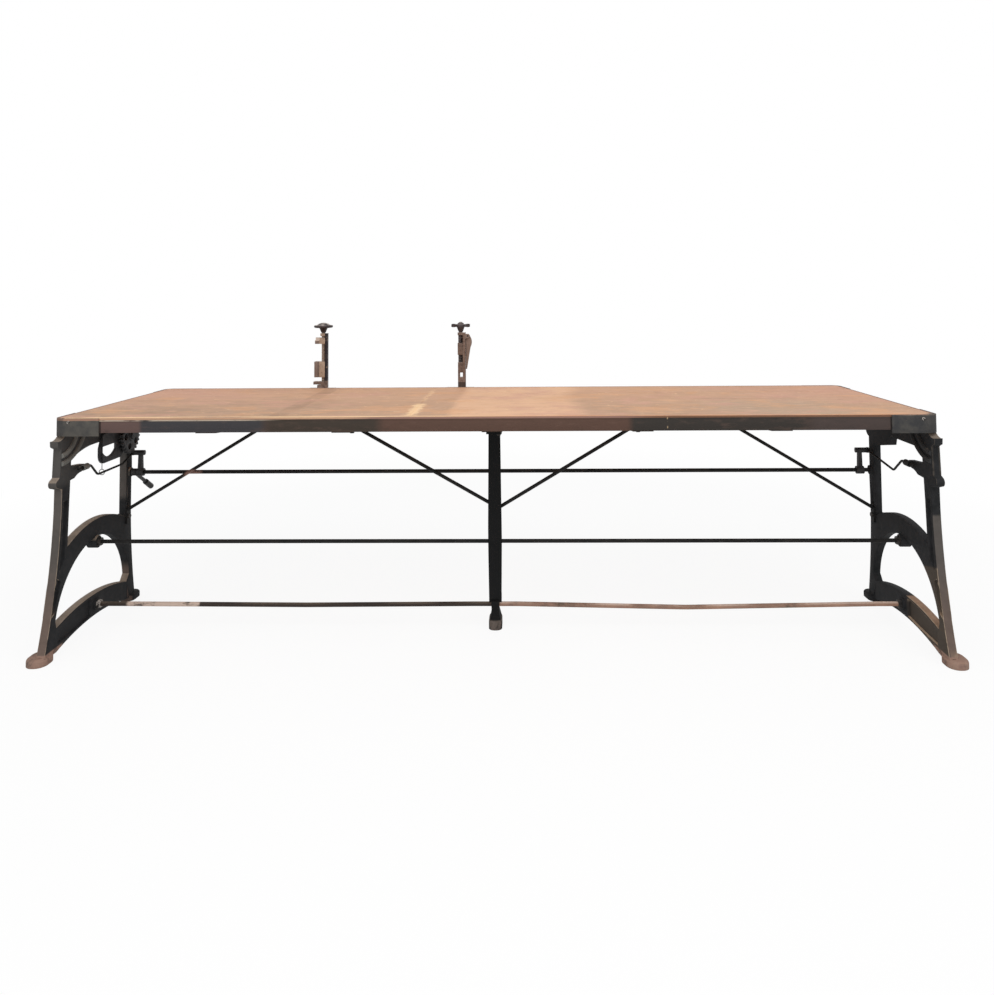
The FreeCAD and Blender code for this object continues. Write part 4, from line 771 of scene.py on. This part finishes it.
def backStrap():
    shell = bmesh.new()
    low, high = strap["z"]
    front, rear = strap["plateY"]
    seat, tab = strap["seatY"], strap["tab"]
    outline = [(seat, low), (rear, low), (rear, high), (seat, high), (seat, high - tab), (front, high - tab),
               (front, low + tab), (seat, low + tab)]
    ends = [[shell.verts.new((x, y, z)) for y, z in outline] for x in strap["x"]]
    for ring in ends:
        shell.faces.new(ring)
    for step in range(len(outline)):
        after = (step + 1) % len(outline)
        shell.faces.new((ends[0][step], ends[0][after], ends[1][after], ends[1][step]))
    settle(holder("right_post_strap", meshOf(shell, "right_post_strap")), "bench", "post_iron")


backStrap()
print("post strapped")


# Curved mouldings on the capitals of both end frames

scrolls = {
    "wall": 1.4715, "radius": 0.0085, "sides": 12, "steps": 24,
    "outer": [(-0.280, 0.718), (-0.323, 0.671), (-0.414, 0.642)],
    "inner": [(-0.328, 0.722), (-0.352, 0.692), (-0.414, 0.669)],
}


def mouldCapitals():
    shape = Shape("capital_mouldings", Radius=("Float", scrolls["radius"]), Mirror=("Vector", (-1.0, 1.0, 1.0)))
    ribs = []
    for name in ("outer", "inner"):
        start, middle, end = [(-scrolls["wall"], y, z) for y, z in scrolls[name]]
        arc = shape.add("GeometryNodeCurveArc", {"mode": "POINTS"}, {
            "Resolution": scrolls["steps"], "Start": start, "Middle": middle, "End": end})
        ribs.append(shape.tube(arc, scrolls["sides"], shape.given("Radius")))
    left = shape.add("GeometryNodeJoinGeometry", {}, {0: ribs})
    turned = shape.add("GeometryNodeTransform", {}, {"Geometry": left, "Scale": shape.given("Mirror")})
    right = shape.add("GeometryNodeFlipFaces", {}, {"Mesh": turned})
    both = shape.add("GeometryNodeJoinGeometry", {}, {0: [left, right]})
    settle(smooth(shape.plain(both, "frame_iron")), "bench", "frame_iron")


mouldCapitals()
print("capitals moulded")


# Slotted screws in the corner caps

screws = {"radius": 0.005, "height": 0.002, "slot": 0.0014, "base": 0.0008, "steps": 14, "x": 1.448, "z": 0.784,
          "wallY": (-0.416, 0.458), "crown": 0.72, "twist": 0.6}


def slottedHead():
    shell = bmesh.new()
    for half in (1, -1):
        limit = math.asin(screws["slot"] / 2 / screws["radius"])
        sweep = [limit + (math.pi - 2 * limit) * step / screws["steps"] for step in range(screws["steps"] + 1)]
        rings = []
        for z, share in ((0, 1.0), (screws["base"], 1.0), (screws["height"], screws["crown"])):
            outline = [(math.cos(turn) * screws["radius"] * share, math.sin(turn) * screws["radius"] * share)
                       for turn in sweep]
            rings.append([shell.verts.new((x * half, max(y, screws["slot"] / 2) * half, z)) for x, y in outline])
        for below, above in zip(rings, rings[1:]):
            count = len(below)
            for step in range(count):
                after = (step + 1) % count
                shell.faces.new((below[step], below[after], above[after], above[step]))
        shell.faces.new(rings[-1])
        shell.faces.new(reversed(rings[0]))
    return holder("head", meshOf(shell, "head"))


def driveScrews():
    template = slottedHead()
    places = bpy.data.meshes.new("places")
    places.from_pydata([(x, y, screws["z"]) for x in (-screws["x"], screws["x"]) for y in screws["wallY"]], [], [])
    spots = holder("spots", places)
    shape = Shape("cap_screw_heads", Head=("Object", template), Spots=("Object", spots))
    place = shape.add("GeometryNodeInputPosition")
    outward = shape.add("ShaderNodeSeparateXYZ", {}, {0: place}, 1).sign()
    away = shape.add("ShaderNodeCombineXYZ", {}, {1: outward})
    turn = shape.add("FunctionNodeAlignRotationToVector", {"axis": "Z"}, {"Vector": away})
    driven = shape.add("GeometryNodeInstanceOnPoints", {}, {
        "Points": shape.taken("Spots"), "Instance": shape.taken("Head"), "Rotation": turn})
    spun = shape.add("GeometryNodeRotateInstances", {}, {
        "Instances": driven, "Rotation": (0.0, 0.0, screws["twist"])})
    piece = smooth(shape.plain(spun, "fastener_steel"), 40)
    bpy.data.objects.remove(template)
    bpy.data.objects.remove(spots)
    settle(piece, "bench", "fastener_steel")


driveScrews()
print("cap screws driven")


# Studio

studio = {
    "floorSize": 60.0, "floorColour": (0.93, 0.93, 0.93, 1.0), "shadow": 0.10, "shadowReach": (1.9, 3.6),
    "ambient": 0.55, "aim": (0.0, 0.0, 0.55), "keyPower": 130.0, "keySize": (6.0, 4.0), "keyPlace": (0.6, -2.6, 4.2),
    "fillPower": 30.0, "fillSize": (5.0, 3.0), "fillPlace": (-2.5, -4.5, 1.8),
}


def seenWhite(graph, lit, strength):
    path = graph.tree.nodes.new("ShaderNodeLightPath")
    rays = [Wire(graph, path.outputs[name]) for name in ("Is Camera Ray", "Is Glossy Ray", "Is Transmission Ray")]
    shown = rays[0].most(rays[1]).most(rays[2])
    white = graph.add("ShaderNodeEmission", {}, {"Color": (1, 1, 1, 1), "Strength": 1.0})
    return graph.add("ShaderNodeMixShader", {}, {0: shown * strength, 1: lit, 2: white})


def makeFloor():
    mesh = bpy.data.meshes.new("floor")
    half = studio["floorSize"] / 2
    mesh.from_pydata([(-half, -half, 0), (half, -half, 0), (half, half, 0), (-half, half, 0)], [], [(0, 1, 2, 3)])
    floor = holder("floor", mesh)
    finish = Finish("pale floor")
    lit = finish.add("ShaderNodeBsdfDiffuse", {}, {"Color": studio["floorColour"]})
    away = finish.add("ShaderNodeVectorMath", {"operation": "LENGTH"}, {0: finish.coords}, "Value")
    shade = (1 - finish.fade(away, *studio["shadowReach"])) * studio["shadow"]  # white beyond the object's shadow
    finish.add("ShaderNodeOutputMaterial", {}, {"Surface": seenWhite(finish, lit, 1 - shade)})
    mesh.materials.append(finish.material)


def makeSky():
    world = bpy.data.worlds.new("studio")
    world.use_nodes = True
    world.node_tree.nodes.clear()
    graph = Graph(world.node_tree)
    lit = graph.add("ShaderNodeBackground", {}, {"Color": (1, 1, 1, 1), "Strength": studio["ambient"]})
    graph.add("ShaderNodeOutputWorld", {}, {"Surface": seenWhite(graph, lit, 1.0)})
    scene.world = world


def makeLamp(name):
    data = bpy.data.lights.new(name, "AREA")
    data.shape = "RECTANGLE"
    data.size, data.size_y = studio[name + "Size"]
    data.energy = studio[name + "Power"]
    lamp = bpy.data.objects.new(name, data)
    lamp.location = studio[name + "Place"]
    aim = Vector(studio["aim"]) - lamp.location
    lamp.rotation_euler = aim.to_track_quat("-Z", "Y").to_euler()
    scene.collection.objects.link(lamp)


makeFloor()
makeSky()
makeLamp("key")
makeLamp("fill")
scene.view_settings.view_transform = "Standard"
print("studio lit")


# Camera at the photograph's view

view = {
    "place": (0.1177, -3.1295, 1.2088), "yaw": -0.0195, "pitch": -0.0412, "roll": -0.0074,
    "focal": 796.45, "middle": (509.47, 261.97), "frame": (994, 995), "film": 36.0,
}


def makeCamera():
    yaw, pitch, roll = view["yaw"], view["pitch"], view["roll"]
    ahead = Vector((math.sin(yaw) * math.cos(pitch), math.cos(yaw) * math.cos(pitch), -math.sin(pitch)))
    right = Vector((math.cos(yaw), -math.sin(yaw), 0))
    up = right.cross(ahead)
    across = right * math.cos(roll) + up * math.sin(roll)
    above = up * math.cos(roll) - right * math.sin(roll)
    data = bpy.data.cameras.new("view")
    longSide = max(view["frame"])
    data.sensor_width = view["film"]
    data.lens = view["focal"] / longSide * view["film"]
    data.shift_x = (view["frame"][0] / 2 - view["middle"][0]) / longSide
    data.shift_y = (view["middle"][1] - view["frame"][1] / 2) / longSide
    camera = bpy.data.objects.new("view", data)
    turn = Matrix((across, above, -ahead)).transposed().to_4x4()
    camera.matrix_world = Matrix.Translation(view["place"]) @ turn
    scene.collection.objects.link(camera)
    scene.camera = camera


makeCamera()
print("camera placed")
